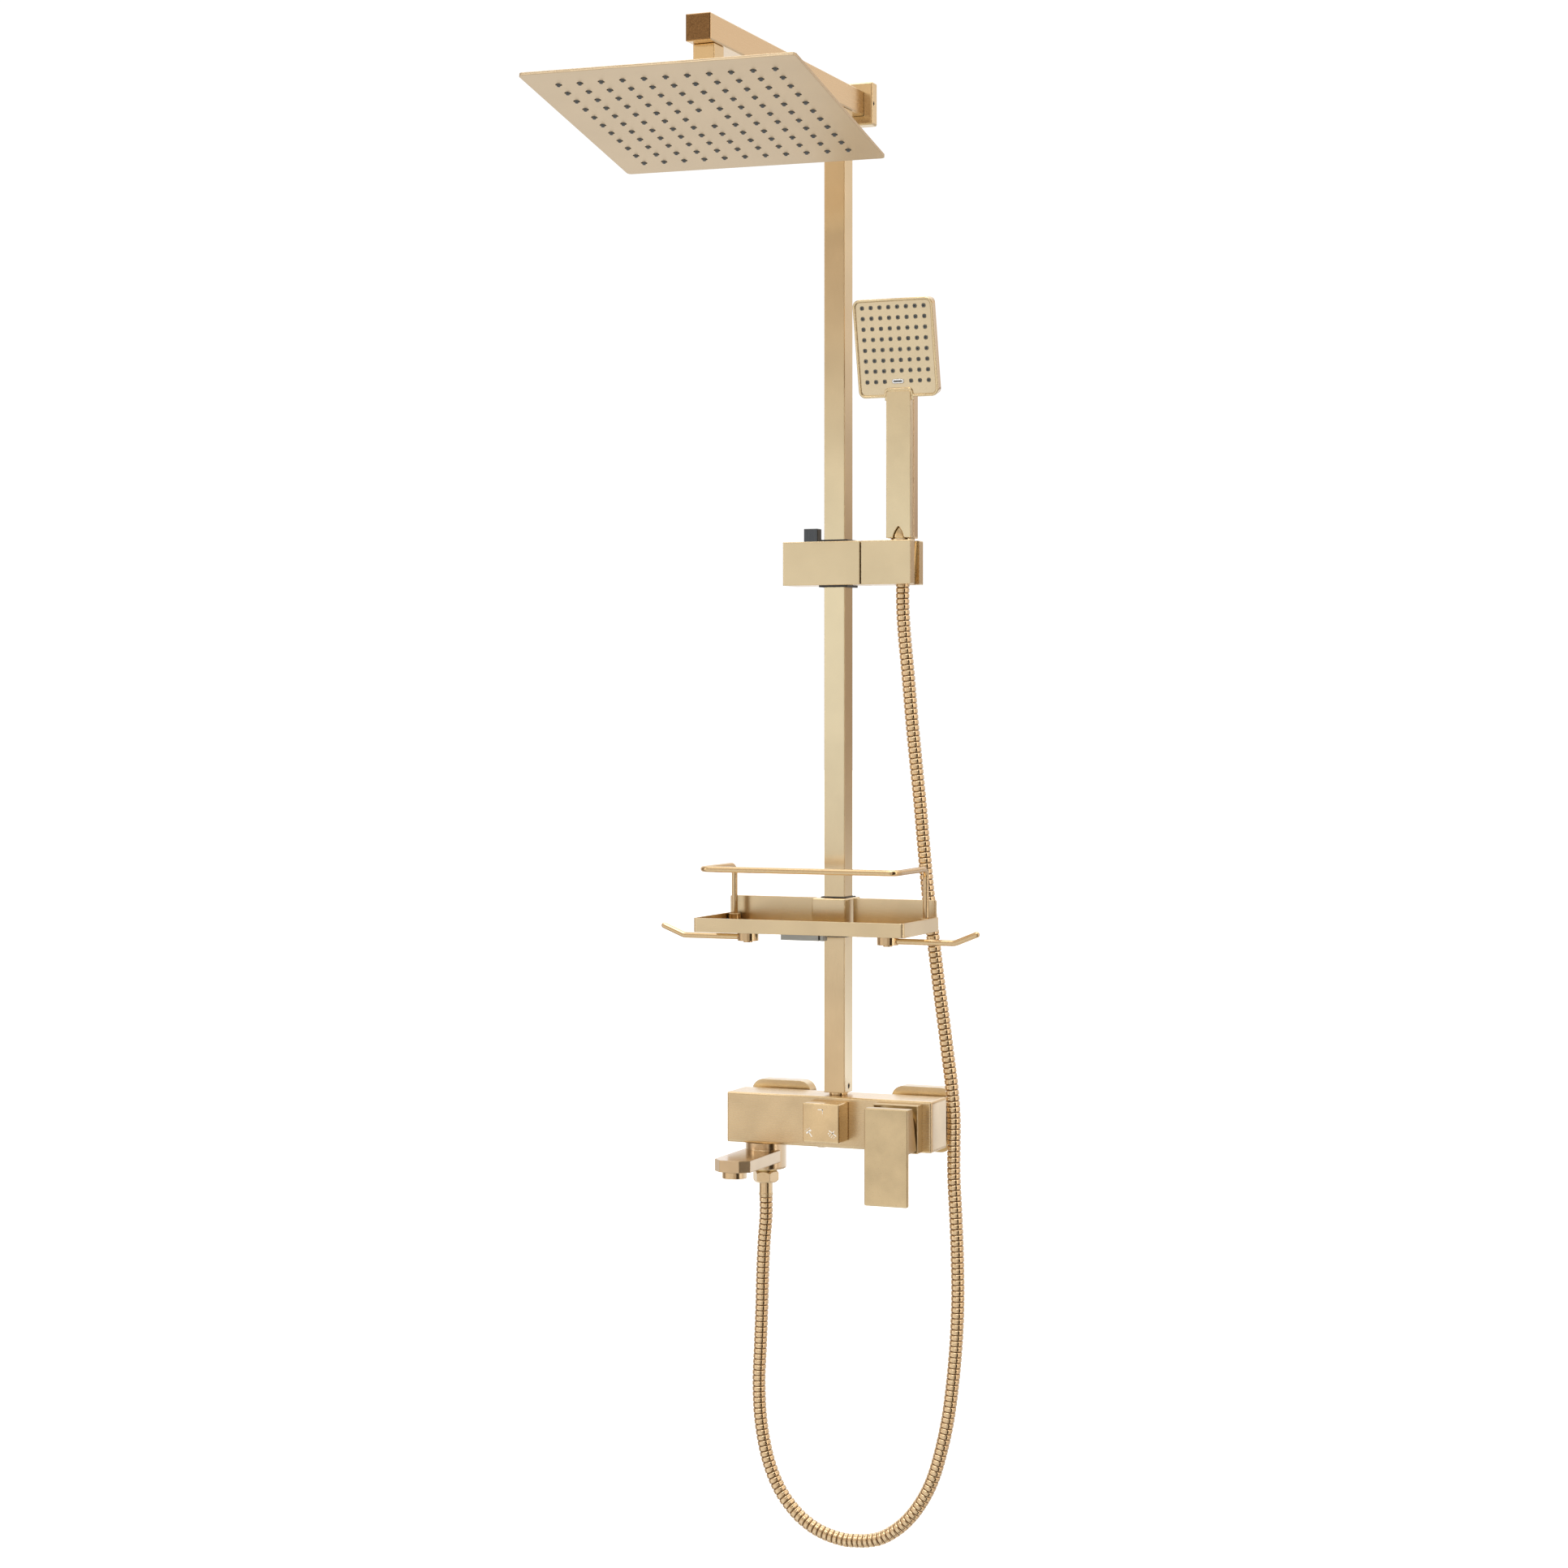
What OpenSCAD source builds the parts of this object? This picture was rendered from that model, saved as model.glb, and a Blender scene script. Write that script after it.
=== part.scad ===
// Square rainfall shower column: bath mixer, riser column, overhead shower,
// hand shower on a sliding holder, shelf with rail and hooks.
// Millimetres. X runs to the right, -Y out into the room, +Z up. The origin is
// midway between the two wall inlets, on the face of the wall.

/* [Mixer body] */
// Distance between the two wall inlets
inlet_spacing = 150; // [148:1:152]
// Distance from the wall to the axis of the body and of the column
axis_out = 50; // [50:1:56]
// Width of the body
body_w = 216; // [206:1:230]
// Place of the body's middle, right of the middle of the inlets
body_x = -2.5; // [-3:0.5:0]
// Height of the body
body_h = 50; // [48:1:54]
// Depth of the body, front to back
body_d = 44; // [44:1:46]
// Side of the square wall covers
cover_w = 63.5; // [52:0.5:66]
// Depth of the square wall covers
cover_d = 16; // [12:1:17]

/* [Controls and spout] */
// Place of the temperature lever, right of the middle
lever_x = 72.5; // [70:0.5:74]
// Width of the lever
lever_w = 44.8; // [42:0.2:46]
// Length of the lever plate
lever_len = 94; // [80:1:110]
// Side of the square diverter knob
knob_w = 38.2; // [30:0.2:40]
// Place of the spout hub, left of the middle
spout_x = 77.5; // [70:0.5:80]
// Reach of the spout from its hub axis
spout_reach = 92; // [85:1:120]
// Width of the spout bar
spout_w = 37.5; // [34:0.5:39]

/* [Column and arm] */
// Side of the square column
column_w = 22; // [21:0.5:23]
// Side of the square arm
arm_w = 24.5; // [24:0.5:26]
// Height of the arm's axis over the inlets
arm_z = 1008; // [960:1:1100]
// Reach of the arm from the wall
arm_reach = 389; // [380:1:420]
// Distance from the wall to the overhead shower's ball joint
ball_out = 366; // [350:1:368]
// Side of the square wall flange
flange_w = 43; // [43:1:50]

/* [Overhead shower] */
// Side of the square plate
head_w = 254; // [250:1:300]
// Tilt at rest, front edge up
head_tilt = 10; // [0:1:14]
// Swivel at rest
head_swivel = 3; // [-5:1:5]
// Nozzles along a side, with none in the middle
head_rows = 11; // [9:2:11]
// Distance between nozzles
head_pitch = 20; // [18:0.5:20]

/* [Hand shower] */
// Height of the middle of the slider over the inlets
slider_z = 548; // [500:1:560]
// Height of the slider and the holder
slider_h = 43; // [43:1:45]
// Place of the hand shower, right of the column
hand_x = 67.6; // [66:0.2:70]
// Lean of the spray face
face_lean = 12; // [8:1:14]
// Width of the spray head
face_w = 82.4; // [80:0.2:90]
// Length of the spray head
face_len = 96; // [94:1:98]
// Diameter of the hose
hose_d = 13.6; // [12:0.2:14]

/* [Shelf] */
// Width of the shelf
shelf_w = 217; // [210:1:217]
// Distance from the wall to the shelf's front
shelf_front = 159; // [150:1:160]
// Distance from the wall to the shelf's back
shelf_back = 58; // [58:1:59]
// Height of the shelf's low rim over the inlets
shelf_z = 203; // [190:1:210]
// Diameter of the rail and the hooks
rod_d = 5.8; // [5:0.2:6.4]

/* [Hidden] */
$fn = 48;

gold = "#cdb68c";
dark_metal = "#5a5c5e";
black = "#202020";
rubber_grey = "#6c7176";
brass = "#b8964e";

axis_y = -axis_out;
body_front = axis_y - body_d / 2;
body_back = axis_y + body_d / 2;
body_r = 2.4;
control_z = -1;
diverter_z = 2;
inlets = [-inlet_spacing / 2, inlet_spacing / 2];
union_r = 10.4;
trim_front = body_front - 12.5;
lever_front = body_front - 38.5;
lever_top = control_z + 22.2;
lever_pivot_y = body_front - 8;
knob_front = body_front - 25;
hub_r = 20.4;
hub_bottom = -52;
bar_top = -32.6;
bar_bottom = -44.2;
aerator_y = axis_y - spout_reach + 13;
column_bottom = body_h / 2 + 2.6;
column_top = arm_z - arm_w / 2 - 0.3;
tube_wall = 1.5;
bracket_w = 39;
screw_x = 16;
flange_screw_y = -8.2;
ball_r = 11;
ball_z = arm_z - 53;
socket_r = ball_r + 1.6;
face_z = -25;
slider_front = axis_y - 18;
slider_back = axis_y + 18;
slider_left = -52;
slider_right = 29.3;
holder_left = 30.6;
holder_right = 82.4;
slider_low = slider_z - slider_h / 2;
slider_high = slider_z + slider_h / 2;
button_x = -27.3;
handle_w = 25.3;
handle_front = axis_y - 10.5;
handle_back = axis_y + 10.5;
handle_low = slider_high + 2;
handle_high = handle_low + 140;
face_low = handle_low + 137.2;
hand_pitch_x = 9.1;
hand_pitch_z = 10.3;
nut_low = slider_low + 2.6;
nut_high = handle_low - 0.3;
nut_r_low = 8.2;
nut_r_high = 12;
tray_low = shelf_z - 13.6;
back_high = shelf_z + 16.4;
sheet = 1.5;
rod_r = rod_d / 2;
rail_z = shelf_z + 47.3;
rail_x = shelf_w / 2 - 7.8;
rail_y = -(shelf_back + 17);
seat_r = 6;
hook_x = 73;
hook_y = -106;
hook_z = tray_low - 7.4;
hex_top = hub_bottom - 2.4;
hex_bottom = hex_top - 11.4;
ferrule_bottom = hex_bottom - 14.8;

// The hose leaves the mixer under the spout, hangs past the loop's lowest point and
// rises beside the shelf to the holder.
loop_route = [
    [-spout_x, axis_y, ferrule_bottom], [-spout_x, axis_y, -100], [-79.5, axis_y, -125],
    [-81, -50, -155], [-82, -50, -190], [-83.5, -50, -228], [-85, -50, -266], [-83, -50, -304],
    [-75.5, -50, -341], [-63, -50, -370], [-46, -50, -391], [-28, -50, -404], [-10, -50, -411],
    [8, -50, -414], [17, -50, -413.5]
];
riser_route = [
    [17, -50, -413.5], [26, -50, -413], [43, -50, -409], [60, -50, -399], [75, -50, -385],
    [88, -50, -367], [98, -50, -347], [106, -50, -322], [114, -50, -287], [119.5, -50, -247],
    [123, -50, -207], [124.5, -50, -168], [124, -50, -128], [122.5, -50, -89],
    [120.5, -50, -50], [120.5, -50, -20], [120.5, -50, 10], [118, -50, 40], [114, -50, 70],
    [110, -50, 100], [105.5, -50, 132], [101.5, -50, 163], [97, -50, 198], [93, -50, 233],
    [89, -50, 275], [85, -50, 318], [80.5, -50, 360], [76.5, -50, 400], [73, -50, 440],
    [69.5, -50, 475], [hand_x, axis_y, 505], [hand_x, axis_y, nut_low]
];

// ---- shared shapes ----

// Rectangle with round corners, centred
module round_rect(w, h, r) {
    square([w - 2 * r, h], center = true);
    square([w, h - 2 * r], center = true);
    for (sx = [-1, 1], sy = [-1, 1])
        translate([sx * (w / 2 - r), sy * (h / 2 - r)]) circle(r);
}

// Box from corner to corner, its edges along Z round
module post(lo, hi, r) {
    translate([(lo[0] + hi[0]) / 2, (lo[1] + hi[1]) / 2, lo[2]])
        linear_extrude(hi[2] - lo[2]) round_rect(hi[0] - lo[0], hi[1] - lo[1], r);
}

// Box from corner to corner, its edges along Y round
module bar_y(lo, hi, r) {
    translate([(lo[0] + hi[0]) / 2, hi[1], (lo[2] + hi[2]) / 2]) rotate([90, 0, 0])
        linear_extrude(hi[1] - lo[1]) round_rect(hi[0] - lo[0], hi[2] - lo[2], r);
}

// Box from corner to corner, its edges along X round
module bar_x(lo, hi, r) {
    translate([lo[0], (lo[1] + hi[1]) / 2, (lo[2] + hi[2]) / 2]) rotate([90, 0, 90])
        linear_extrude(hi[0] - lo[0]) round_rect(hi[1] - lo[1], hi[2] - lo[2], r);
}

// Box from corner to corner, every edge round
module soft_box(lo, hi, r) {
    intersection() {
        post(lo, hi, r);
        bar_y(lo, hi, r);
        bar_x(lo, hi, r);
    }
}

// Box from corner to corner, sharp
module sharp_box(lo, hi) {
    translate(lo) cube(hi - lo);
}

// Cylinder along +Y, from y0 to y1
module rod_y(x, z, y0, y1, r) {
    translate([x, y0, z]) rotate([-90, 0, 0]) cylinder(r = r, h = y1 - y0);
}

// Cylinder along +Z, from z0 to z1
module rod_z(x, y, z0, z1, r) {
    translate([x, y, z0]) cylinder(r = r, h = z1 - z0);
}

// Cylinder along +X, from x0 to x1
module rod_x(y, z, x0, x1, r) {
    translate([x0, y, z]) rotate([0, 90, 0]) cylinder(r = r, h = x1 - x0);
}

// Hexagonal nut along Z with chamfered ends, w across its flats
module hex_nut(w, h, bore) {
    corner = w / sqrt(3);
    chamfer = corner - w / 2 + 0.6;
    difference() {
        intersection() {
            cylinder(r = corner, h = h, $fn = 6);
            rotate_extrude() polygon([
                [0, 0], [corner - chamfer, 0], [corner + 0.1, chamfer], [corner + 0.1, h - chamfer],
                [corner - chamfer, h], [0, h]
            ]);
        }
        translate([0, 0, -1]) cylinder(r = bore, h = h + 2);
    }
}

function unit(v) = v / norm(v);
function heading(p, i) = unit(p[min(i + 1, len(p) - 1)] - p[max(i - 1, 0)]);
function ring(at, along, r, n) = [
    for (k = [0:n - 1]) let (a = 360 * k / n, side = unit([along[2], 0, -along[0]]))
        at + r * cos(a) * side + r * sin(a) * cross(along, side)
];

// Tube swept along a route's own points
module swept_tube(p, r, n = 10) {
    m = len(p);
    polyhedron(
        points = [for (i = [0:m - 1]) each ring(p[i], heading(p, i), r, n)],
        faces = concat(
            [[for (k = [n - 1:-1:0]) k]],
            [for (i = [0:m - 2], k = [0:n - 1])
                [i * n + k, i * n + (k + 1) % n, (i + 1) * n + (k + 1) % n, (i + 1) * n + k]],
            [[for (k = [0:n - 1]) (m - 1) * n + k]]
        )
    );
}

// ---- mixer body and its inner pieces ----

module mixer_body() {
    color(gold) difference() {
        soft_box([body_x - body_w / 2, body_front, -body_h / 2],
                 [body_x + body_w / 2, body_back, body_h / 2], body_r);
        rod_y(lever_x, control_z, body_front - 1, axis_y + 8, 17.5);
        rod_y(0, diverter_z, body_front - 1, axis_y + 10, 12.6);
        rod_x(axis_y, control_z, -spout_x, lever_x, 5);
        for (x = inlets) {
            rod_y(x, 0, axis_y + 9, body_back + 1, 11);
            rod_y(x, 0, axis_y, axis_y + 10, 5.8);
        }
        rod_z(0, axis_y, 10, body_h / 2 + 1, 7.3);
        rod_z(0, axis_y, 0, 11, 5);
        rod_z(-spout_x, axis_y, -body_h / 2 - 1, -8, 9);
        rod_z(-17, axis_y, -body_h / 2 - 1, -14, 4.1);
    }
}

module inlet_unions() {
    color(brass) for (x = inlets) difference() {
        union() {
            rod_y(x, 0, -2, 15, union_r);
            rod_y(x, 0, body_back + 0.1, -2, 13);
            rod_y(x, 0, axis_y + 11, body_back + 1, 10.9);
        }
        rod_y(x, 0, axis_y + 10, 16, 6);
    }
}

module union_nuts() {
    color(gold) for (x = inlets)
        translate([x, -17, 0]) rotate([90, 0, 0]) hex_nut(30, 10.6, 13.1);
}

module escutcheon(x) {
    half = cover_w / 2;
    difference() {
        intersection() {
            bar_y([x - half, -cover_d, -half], [x + half, 0, half], 12);
            soft_box([x - half - 5, -cover_d, -half - 5], [x + half + 5, 5, half + 5], 1.2);
        }
        bar_y([x - half + sheet, -cover_d + sheet, -half + sheet],
              [x + half - sheet, 1, half - sheet], 10.5);
        rod_y(x, 0, -cover_d - 1, 0, 13.4);
    }
}

module escutcheon_left() { color(gold) escutcheon(inlets[0]); }

module escutcheon_right() { color(gold) escutcheon(inlets[1]); }

module cartridge() {
    color("#d8d4c8") difference() {
        union() {
            rod_y(lever_x, control_z, axis_y - 11, axis_y + 7.8, 17.3);
            rod_y(lever_x, control_z, body_front + 0.5, axis_y - 11, 13.9);
        }
        rod_y(lever_x, control_z, body_front, axis_y - 8, 5.06);
    }
}

module cartridge_nut() {
    color(brass) difference() {
        rod_y(lever_x, control_z, body_front + 0.2, axis_y - 11.1, 17.4);
        rod_y(lever_x, control_z, body_front - 1, axis_y - 10, 14);
    }
}

module cartridge_cover() {
    top = 15;
    color(gold) translate([lever_x, body_front - 0.1, control_z]) rotate([90, 0, 0]) rotate_extrude()
        difference() {
            union() {
                square([17, top - 4]);
                square([13, top]);
                translate([13, top - 4]) circle(4);
            }
            translate([-1, -1]) square([16.6, top - 0.6]);
            translate([-1, -1]) square([9.5, top + 2]);
        }
}

module trim_plate() {
    half = 23.2;
    color(gold) difference() {
        soft_box([lever_x - half, trim_front, control_z - half],
                 [lever_x + half, body_front - 0.1, control_z + half], 0.5);
        sharp_box([lever_x - half + 1.3, trim_front - 1, control_z - half + 1.3],
                  [lever_x + half - 1.3, body_front - 1.6, control_z + half - 1.3]);
        rod_y(lever_x, control_z, trim_front - 1, body_front, 17.3);
    }
}

module diverter_cartridge() {
    color("#d8d4c8") difference() {
        rod_y(0, diverter_z, body_front + 0.3, axis_y + 9.8, 12.5);
        rod_y(0, diverter_z, body_front, axis_y - 4, 4.06);
    }
}

module body_plug() {
    color(gold) difference() {
        union() {
            rod_z(-17, axis_y, -body_h / 2, -15, 4);
            rod_z(-17, axis_y, -body_h / 2 - 2.8, -body_h / 2, 5.2);
        }
        translate([-17, axis_y, -body_h / 2 - 3]) cylinder(r = 2.4, h = 4, $fn = 6);
    }
}

// ---- column, arm and wall flange ----

module column_nipple() {
    half = column_w / 2 - tube_wall - 0.1;
    color(brass) difference() {
        union() {
            rod_z(0, axis_y, 15, column_bottom + 1, 7.2);
            rod_z(0, axis_y, body_h / 2 + 0.1, column_bottom - 0.1, 9.2);
            post([-half, axis_y - half, column_bottom], [half, axis_y + half, column_bottom + 22], 1);
        }
        rod_z(0, axis_y, 11, column_bottom + 23, 4.5);
        rod_x(axis_y, column_bottom + 6, 5, half + 1, 2.65);
    }
}

module column_tube() {
    half = column_w / 2;
    color(gold) difference() {
        post([-half, axis_y - half, column_bottom], [half, axis_y + half, column_top], 1.2);
        post([-half + tube_wall, axis_y - half + tube_wall, column_bottom - 1],
             [half - tube_wall, axis_y + half - tube_wall, column_top + 1], 0.8);
        rod_x(axis_y, column_bottom + 6, 0, half + 1, 2.7);
    }
}

module column_screw() {
    color(dark_metal) difference() {
        rod_x(axis_y, column_bottom + 6, 5.5, column_w / 2 - 0.6, 2.6);
        translate([column_w / 2 - 2.2, axis_y, column_bottom + 6]) rotate([0, 90, 0])
            cylinder(r = 1.5, h = 3, $fn = 6);
    }
}

module column_top_insert() {
    half = column_w / 2 - tube_wall - 0.1;
    color(brass) difference() {
        union() {
            post([-half, axis_y - half, column_top - 34], [half, axis_y + half, column_top], 1);
            rod_z(0, axis_y, column_top - 1, column_top + 11, 7);
        }
        rod_z(0, axis_y, column_top - 35, column_top + 12, 4.5);
    }
}

module shower_arm() {
    half = arm_w / 2;
    inner = half - tube_wall;
    color(gold) difference() {
        soft_box([-half, -arm_reach, arm_z - half], [half, -3.3, arm_z + half], 1.5);
        bar_y([-inner, -arm_reach + 2, arm_z - inner], [inner, 0, arm_z + inner], 0.8);
        rod_z(0, axis_y, arm_z - half - 1, arm_z, 7.1);
        rod_z(0, -ball_out, arm_z - half - 1, arm_z, 7.1);
    }
}

module arm_stub() {
    top = arm_z - arm_w / 2 - 0.1;
    color(gold) difference() {
        union() {
            soft_box([-10.5, -ball_out - 10.5, top - 26.6], [10.5, -ball_out + 10.5, top], 1);
            rod_z(0, -ball_out, top - 1, top + 10, 7);
        }
        rod_z(0, -ball_out, top - 28, top - 12, 6.6);
        rod_z(0, -ball_out, top - 13, top + 11, 4.5);
    }
}

module wall_flange() {
    half = flange_w / 2;
    hole = arm_w / 2 + 0.2;
    color(gold) difference() {
        soft_box([-half, -12.3, arm_z - half], [half, 6, arm_z + half], 2);
        sharp_box([-half - 1, 0, arm_z - half - 1], [half + 1, 7, arm_z + half + 1]);
        bar_y([-half + sheet, -12.3 + sheet, arm_z - half + sheet],
              [half - sheet, 1, arm_z + half - sheet], 1);
        bar_y([-hole, -13, arm_z - hole], [hole, 0, arm_z + hole], 1.5);
        rod_x(flange_screw_y, arm_z, 0, half + 1, 2.1);
    }
}

module flange_screw() {
    color(dark_metal) difference() {
        rod_x(flange_screw_y, arm_z, arm_w / 2 + 0.1, flange_w / 2 - 0.3, 2);
        translate([flange_w / 2 - 2, flange_screw_y, arm_z]) rotate([0, 90, 0])
            cylinder(r = 1.1, h = 3, $fn = 6);
    }
}

module wall_bracket() {
    half = bracket_w / 2;
    boss = arm_w / 2 - tube_wall - 0.1;
    color(brass) difference() {
        union() {
            bar_y([-half, -3, arm_z - half], [half, 0, arm_z + half], 3);
            bar_y([-boss, -28, arm_z - boss], [boss, -2, arm_z + boss], 1);
        }
        for (x = [-screw_x, screw_x]) rod_y(x, arm_z, -4, 1, 2.3);
        rod_y(0, arm_z, -29, -8, 6);
    }
}

module swivel_ball() {
    color(brass) translate([0, -ball_out, ball_z]) difference() {
        union() {
            sphere(ball_r);
            cylinder(r = 6.5, h = 27);
        }
        translate([0, 0, -ball_r - 1]) cylinder(r = 3.5, h = 42);
    }
}

// ---- overhead shower, drawn about its ball joint ----

// Lays a piece at the plate's rest pose
module at_head() {
    translate([0, -ball_out, ball_z]) rotate([-head_tilt, 0, head_swivel]) children();
}

// Ring between the ball and its socket, from z0 to z1
module ball_ring(z0, z1) {
    difference() {
        intersection() {
            sphere(socket_r - 0.1);
            translate([0, 0, z0]) cylinder(r = 20, h = z1 - z0);
        }
        sphere(ball_r + 0.1);
    }
}

module ball_seal() { color(black) at_head() ball_ring(-10, -8.2); }

module ball_washer() { color("white") at_head() ball_ring(-1.2, 1.2); }

module socket_nut() {
    color(gold) at_head() difference() {
        translate([0, 0, -9]) cylinder(r = 16, h = 16);
        intersection() {
            sphere(socket_r);
            translate([0, 0, -20]) cylinder(r = 20, h = 24);
        }
        translate([0, 0, -10]) cylinder(r = 8.6, h = 10);
        translate([0, 0, 3.9]) cylinder(r1 = 10.3, r2 = 11.2, h = 3.2);
    }
}

module rain_head_shell() {
    pan = head_w - 30;
    color(gold) at_head() difference() {
        union() {
            translate([0, 0, face_z + 1.5]) linear_extrude(1.2) round_rect(head_w, head_w, 4);
            translate([0, 0, face_z + 2]) linear_extrude(6.4) round_rect(pan, pan, 10);
            translate([0, 0, face_z + 8]) cylinder(r = 30, h = 2.5);
            translate([0, 0, face_z + 8]) cylinder(r = 16, h = 7.8);
        }
        translate([0, 0, face_z + 1]) linear_extrude(6.1) round_rect(pan - 2.4, pan - 2.4, 9);
        translate([0, 0, face_z]) cylinder(r = 6, h = 20);
        sphere(socket_r);
    }
}

// Places children at every nozzle of the overhead shower
module head_grid() {
    n = (head_rows - 1) / 2;
    for (i = [-n:n], j = [-n:n])
        if (i != 0 || j != 0) translate([i * head_pitch, j * head_pitch, 0]) children();
}

module rain_head_face() {
    color(gold) at_head() difference() {
        translate([0, 0, face_z]) linear_extrude(1.4) round_rect(head_w, head_w, 4);
        head_grid() translate([0, 0, face_z - 1]) cylinder(r = 3, h = 4);
    }
}

module rain_nozzles() {
    mat = head_w - 34;
    color(rubber_grey) at_head() difference() {
        union() {
            translate([0, 0, face_z + 1.5]) linear_extrude(1.4) round_rect(mat, mat, 8);
            head_grid() translate([0, 0, face_z - 1.6]) cylinder(r1 = 1.5, r2 = 2.4, h = 3.3);
        }
        head_grid() translate([0, 0, face_z - 2]) cylinder(r = 0.7, h = 6);
    }
}

// ---- slider and holder ----

module slider_body() {
    hole = column_w / 2 + 4.1;
    color(gold) difference() {
        soft_box([slider_left, slider_front, slider_low], [slider_right, slider_back, slider_high], 0.8);
        post([-hole, axis_y - hole, slider_low - 1], [hole, axis_y + hole, slider_high + 1], 1);
        post([button_x - 7.7, axis_y - 5.7, slider_z - 14], [button_x + 7.7, axis_y + 5.7, slider_high + 1], 1);
        sharp_box([button_x + 5, axis_y - 4.3, slider_z - 8], [-hole + 1, axis_y + 4.3, slider_z + 8]);
        rod_x(axis_y, slider_z, hole - 1, slider_right + 1, 4);
    }
}

module slider_liner() {
    outer = column_w / 2 + 4;
    inner = column_w / 2 + 0.3;
    color(black) difference() {
        post([-outer, axis_y - outer, slider_low - 1.8], [outer, axis_y + outer, slider_high + 1.8], 1);
        post([-inner, axis_y - inner, slider_low - 3], [inner, axis_y + inner, slider_high + 3], 1.2);
        sharp_box([-outer - 1, axis_y - 4.3, slider_z - 8], [-inner + 1, axis_y + 4.3, slider_z + 8]);
    }
}

module holder_pivot() {
    color("silver") union() {
        rod_x(axis_y, slider_z, column_w / 2 + 4.4, 42, 3.95);
    }
}

module brake_pad() {
    color(black) sharp_box([-column_w / 2 - 7, axis_y - 4, slider_z - 7.5],
                           [-column_w / 2 - 0.3, axis_y + 4, slider_z + 7.5]);
}

module release_button() {
    color(dark_metal) union() {
        soft_box([button_x - 7.4, axis_y - 5.4, slider_z + 12], [button_x + 7.4, axis_y + 5.4, slider_z + 35], 0.8);
        rod_z(button_x - 2, axis_y, slider_z + 2, slider_z + 13, 3.4);
    }
}

module button_spring() {
    turns = 4;
    low = slider_z - 12.7;
    rise = 14;
    coil = [for (k = [0:12 * turns]) [
        button_x - 2 + 2.9 * cos(30 * k), axis_y + 2.9 * sin(30 * k), low + rise * k / 12 / turns
    ]];
    color("silver") swept_tube(coil, 0.7, 6);
}

module handset_holder() {
    color(gold) difference() {
        soft_box([holder_left, slider_front, slider_low], [holder_right, slider_back, slider_high], 0.8);
        rod_x(axis_y, slider_z, holder_left - 1, 42.6, 4);
        translate([hand_x, axis_y, slider_low - 0.05])
            cylinder(r1 = nut_r_low + 0.15, r2 = nut_r_high + 0.35, h = slider_h + 0.1);
        sharp_box([hand_x, axis_y - 7.3, slider_low - 1], [holder_right + 1, axis_y + 7.3, slider_high + 1]);
    }
}

// ---- hand shower ----

// Face frame: X to the right, Y into the head, Z up the leaning face
module at_face() {
    translate([hand_x, handle_front - 0.5, face_low]) rotate([face_lean, 0, 0]) children();
}

// Spray head outline set in by "inset", from y0 to y1 of the face frame
module head_slab(inset, y0, y1, r) {
    translate([0, y1, face_len / 2]) rotate([90, 0, 0])
        linear_extrude(y1 - y0) round_rect(face_w - 2 * inset, face_len - 2 * inset, r);
}

// Round-topped tab where the handle enters the face
module notch_tab(w, h, y0, y1) {
    translate([0, y1, 0]) rotate([90, 0, 0]) linear_extrude(y1 - y0) {
        translate([-w / 2, -3]) square([w, h - 1]);
        translate([-w / 2 + 4, -3]) square([w - 8, h + 3]);
        for (s = [-1, 1]) translate([s * (w / 2 - 4), h - 4]) circle(4);
    }
}

// Places children at every nozzle of the hand shower
module hand_grid() {
    for (i = [0:7], j = [0:7])
        if (j > 0 || abs(i - 3.5) > 1)
            translate([(i - 3.5) * hand_pitch_x, 0, 15.6 + j * hand_pitch_z]) children();
}

module handset_shell() {
    half = handle_w / 2;
    color(gold) difference() {
        union() {
            at_face() intersection() {
                head_slab(0.4, 3.1, 13, 7);
                soft_box([-face_w / 2, -8, 0], [face_w / 2, 11, face_len], 3);
            }
            translate([hand_x, 0, 0]) {
                soft_box([-half + 0.3, handle_front + 8.6, handle_low],
                         [half - 0.3, handle_back, handle_high + 6], 1.5);
                sharp_box([-half + 1.4, handle_front + 5.8, handle_low],
                          [half - 1.4, handle_front + 9.5, handle_high - 4]);
            }
        }
        at_face() intersection() {
            head_slab(2.4, 3, 9.4, 5);
            sharp_box([-face_w, -1, -1], [face_w, 9.4, face_len + 5]);
        }
        translate([hand_x, 0, 0]) sharp_box([-half + 3, handle_front + 7.4, handle_low + 22],
                                            [half - 3, handle_back - 2, handle_high - 2]);
        rod_z(hand_x, axis_y, handle_low - 1, handle_low + 22.5, 7.05);
    }
}

module handset_front() {
    half = handle_w / 2;
    color(gold) difference() {
        union() {
            at_face() difference() {
                head_slab(0, 0, 3, 7);
                head_slab(2.4, -1, 4, 5);
            }
            at_face() notch_tab(29, 8.6, 0, 3);
            translate([hand_x, 0, 0]) soft_box([-half, handle_front, handle_low],
                                               [half, handle_front + 5.7, handle_high + 1], 1.4);
            translate([hand_x, 0, 0]) soft_box([-half, handle_front - 2, handle_high - 12],
                                               [half, handle_front + 3, handle_high + 4], 1.4);
        }
        at_face() translate([0, 0, -0.2]) head_slab(0, 3.02, 14, 7);
        translate([hand_x, axis_y, handle_low - 0.1]) cylinder(r1 = 12.2, r2 = 10.5, h = 12.8);
        translate([hand_x, axis_y, handle_low + 12.6]) cylinder(r1 = 10.5, r2 = 2, h = 8.5);
    }
}

module handset_face() {
    color(gold) at_face() difference() {
        head_slab(2.5, 0.8, 2.2, 5);
        notch_tab(29.2, 8.8, -1, 4);
        hand_grid() rotate([-90, 0, 0]) cylinder(r = 1.9, h = 4);
        translate([0, -1, 15.6]) rotate([-90, 0, 0]) linear_extrude(2.4) round_rect(12.2, 4.4, 2.1);
    }
}

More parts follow.
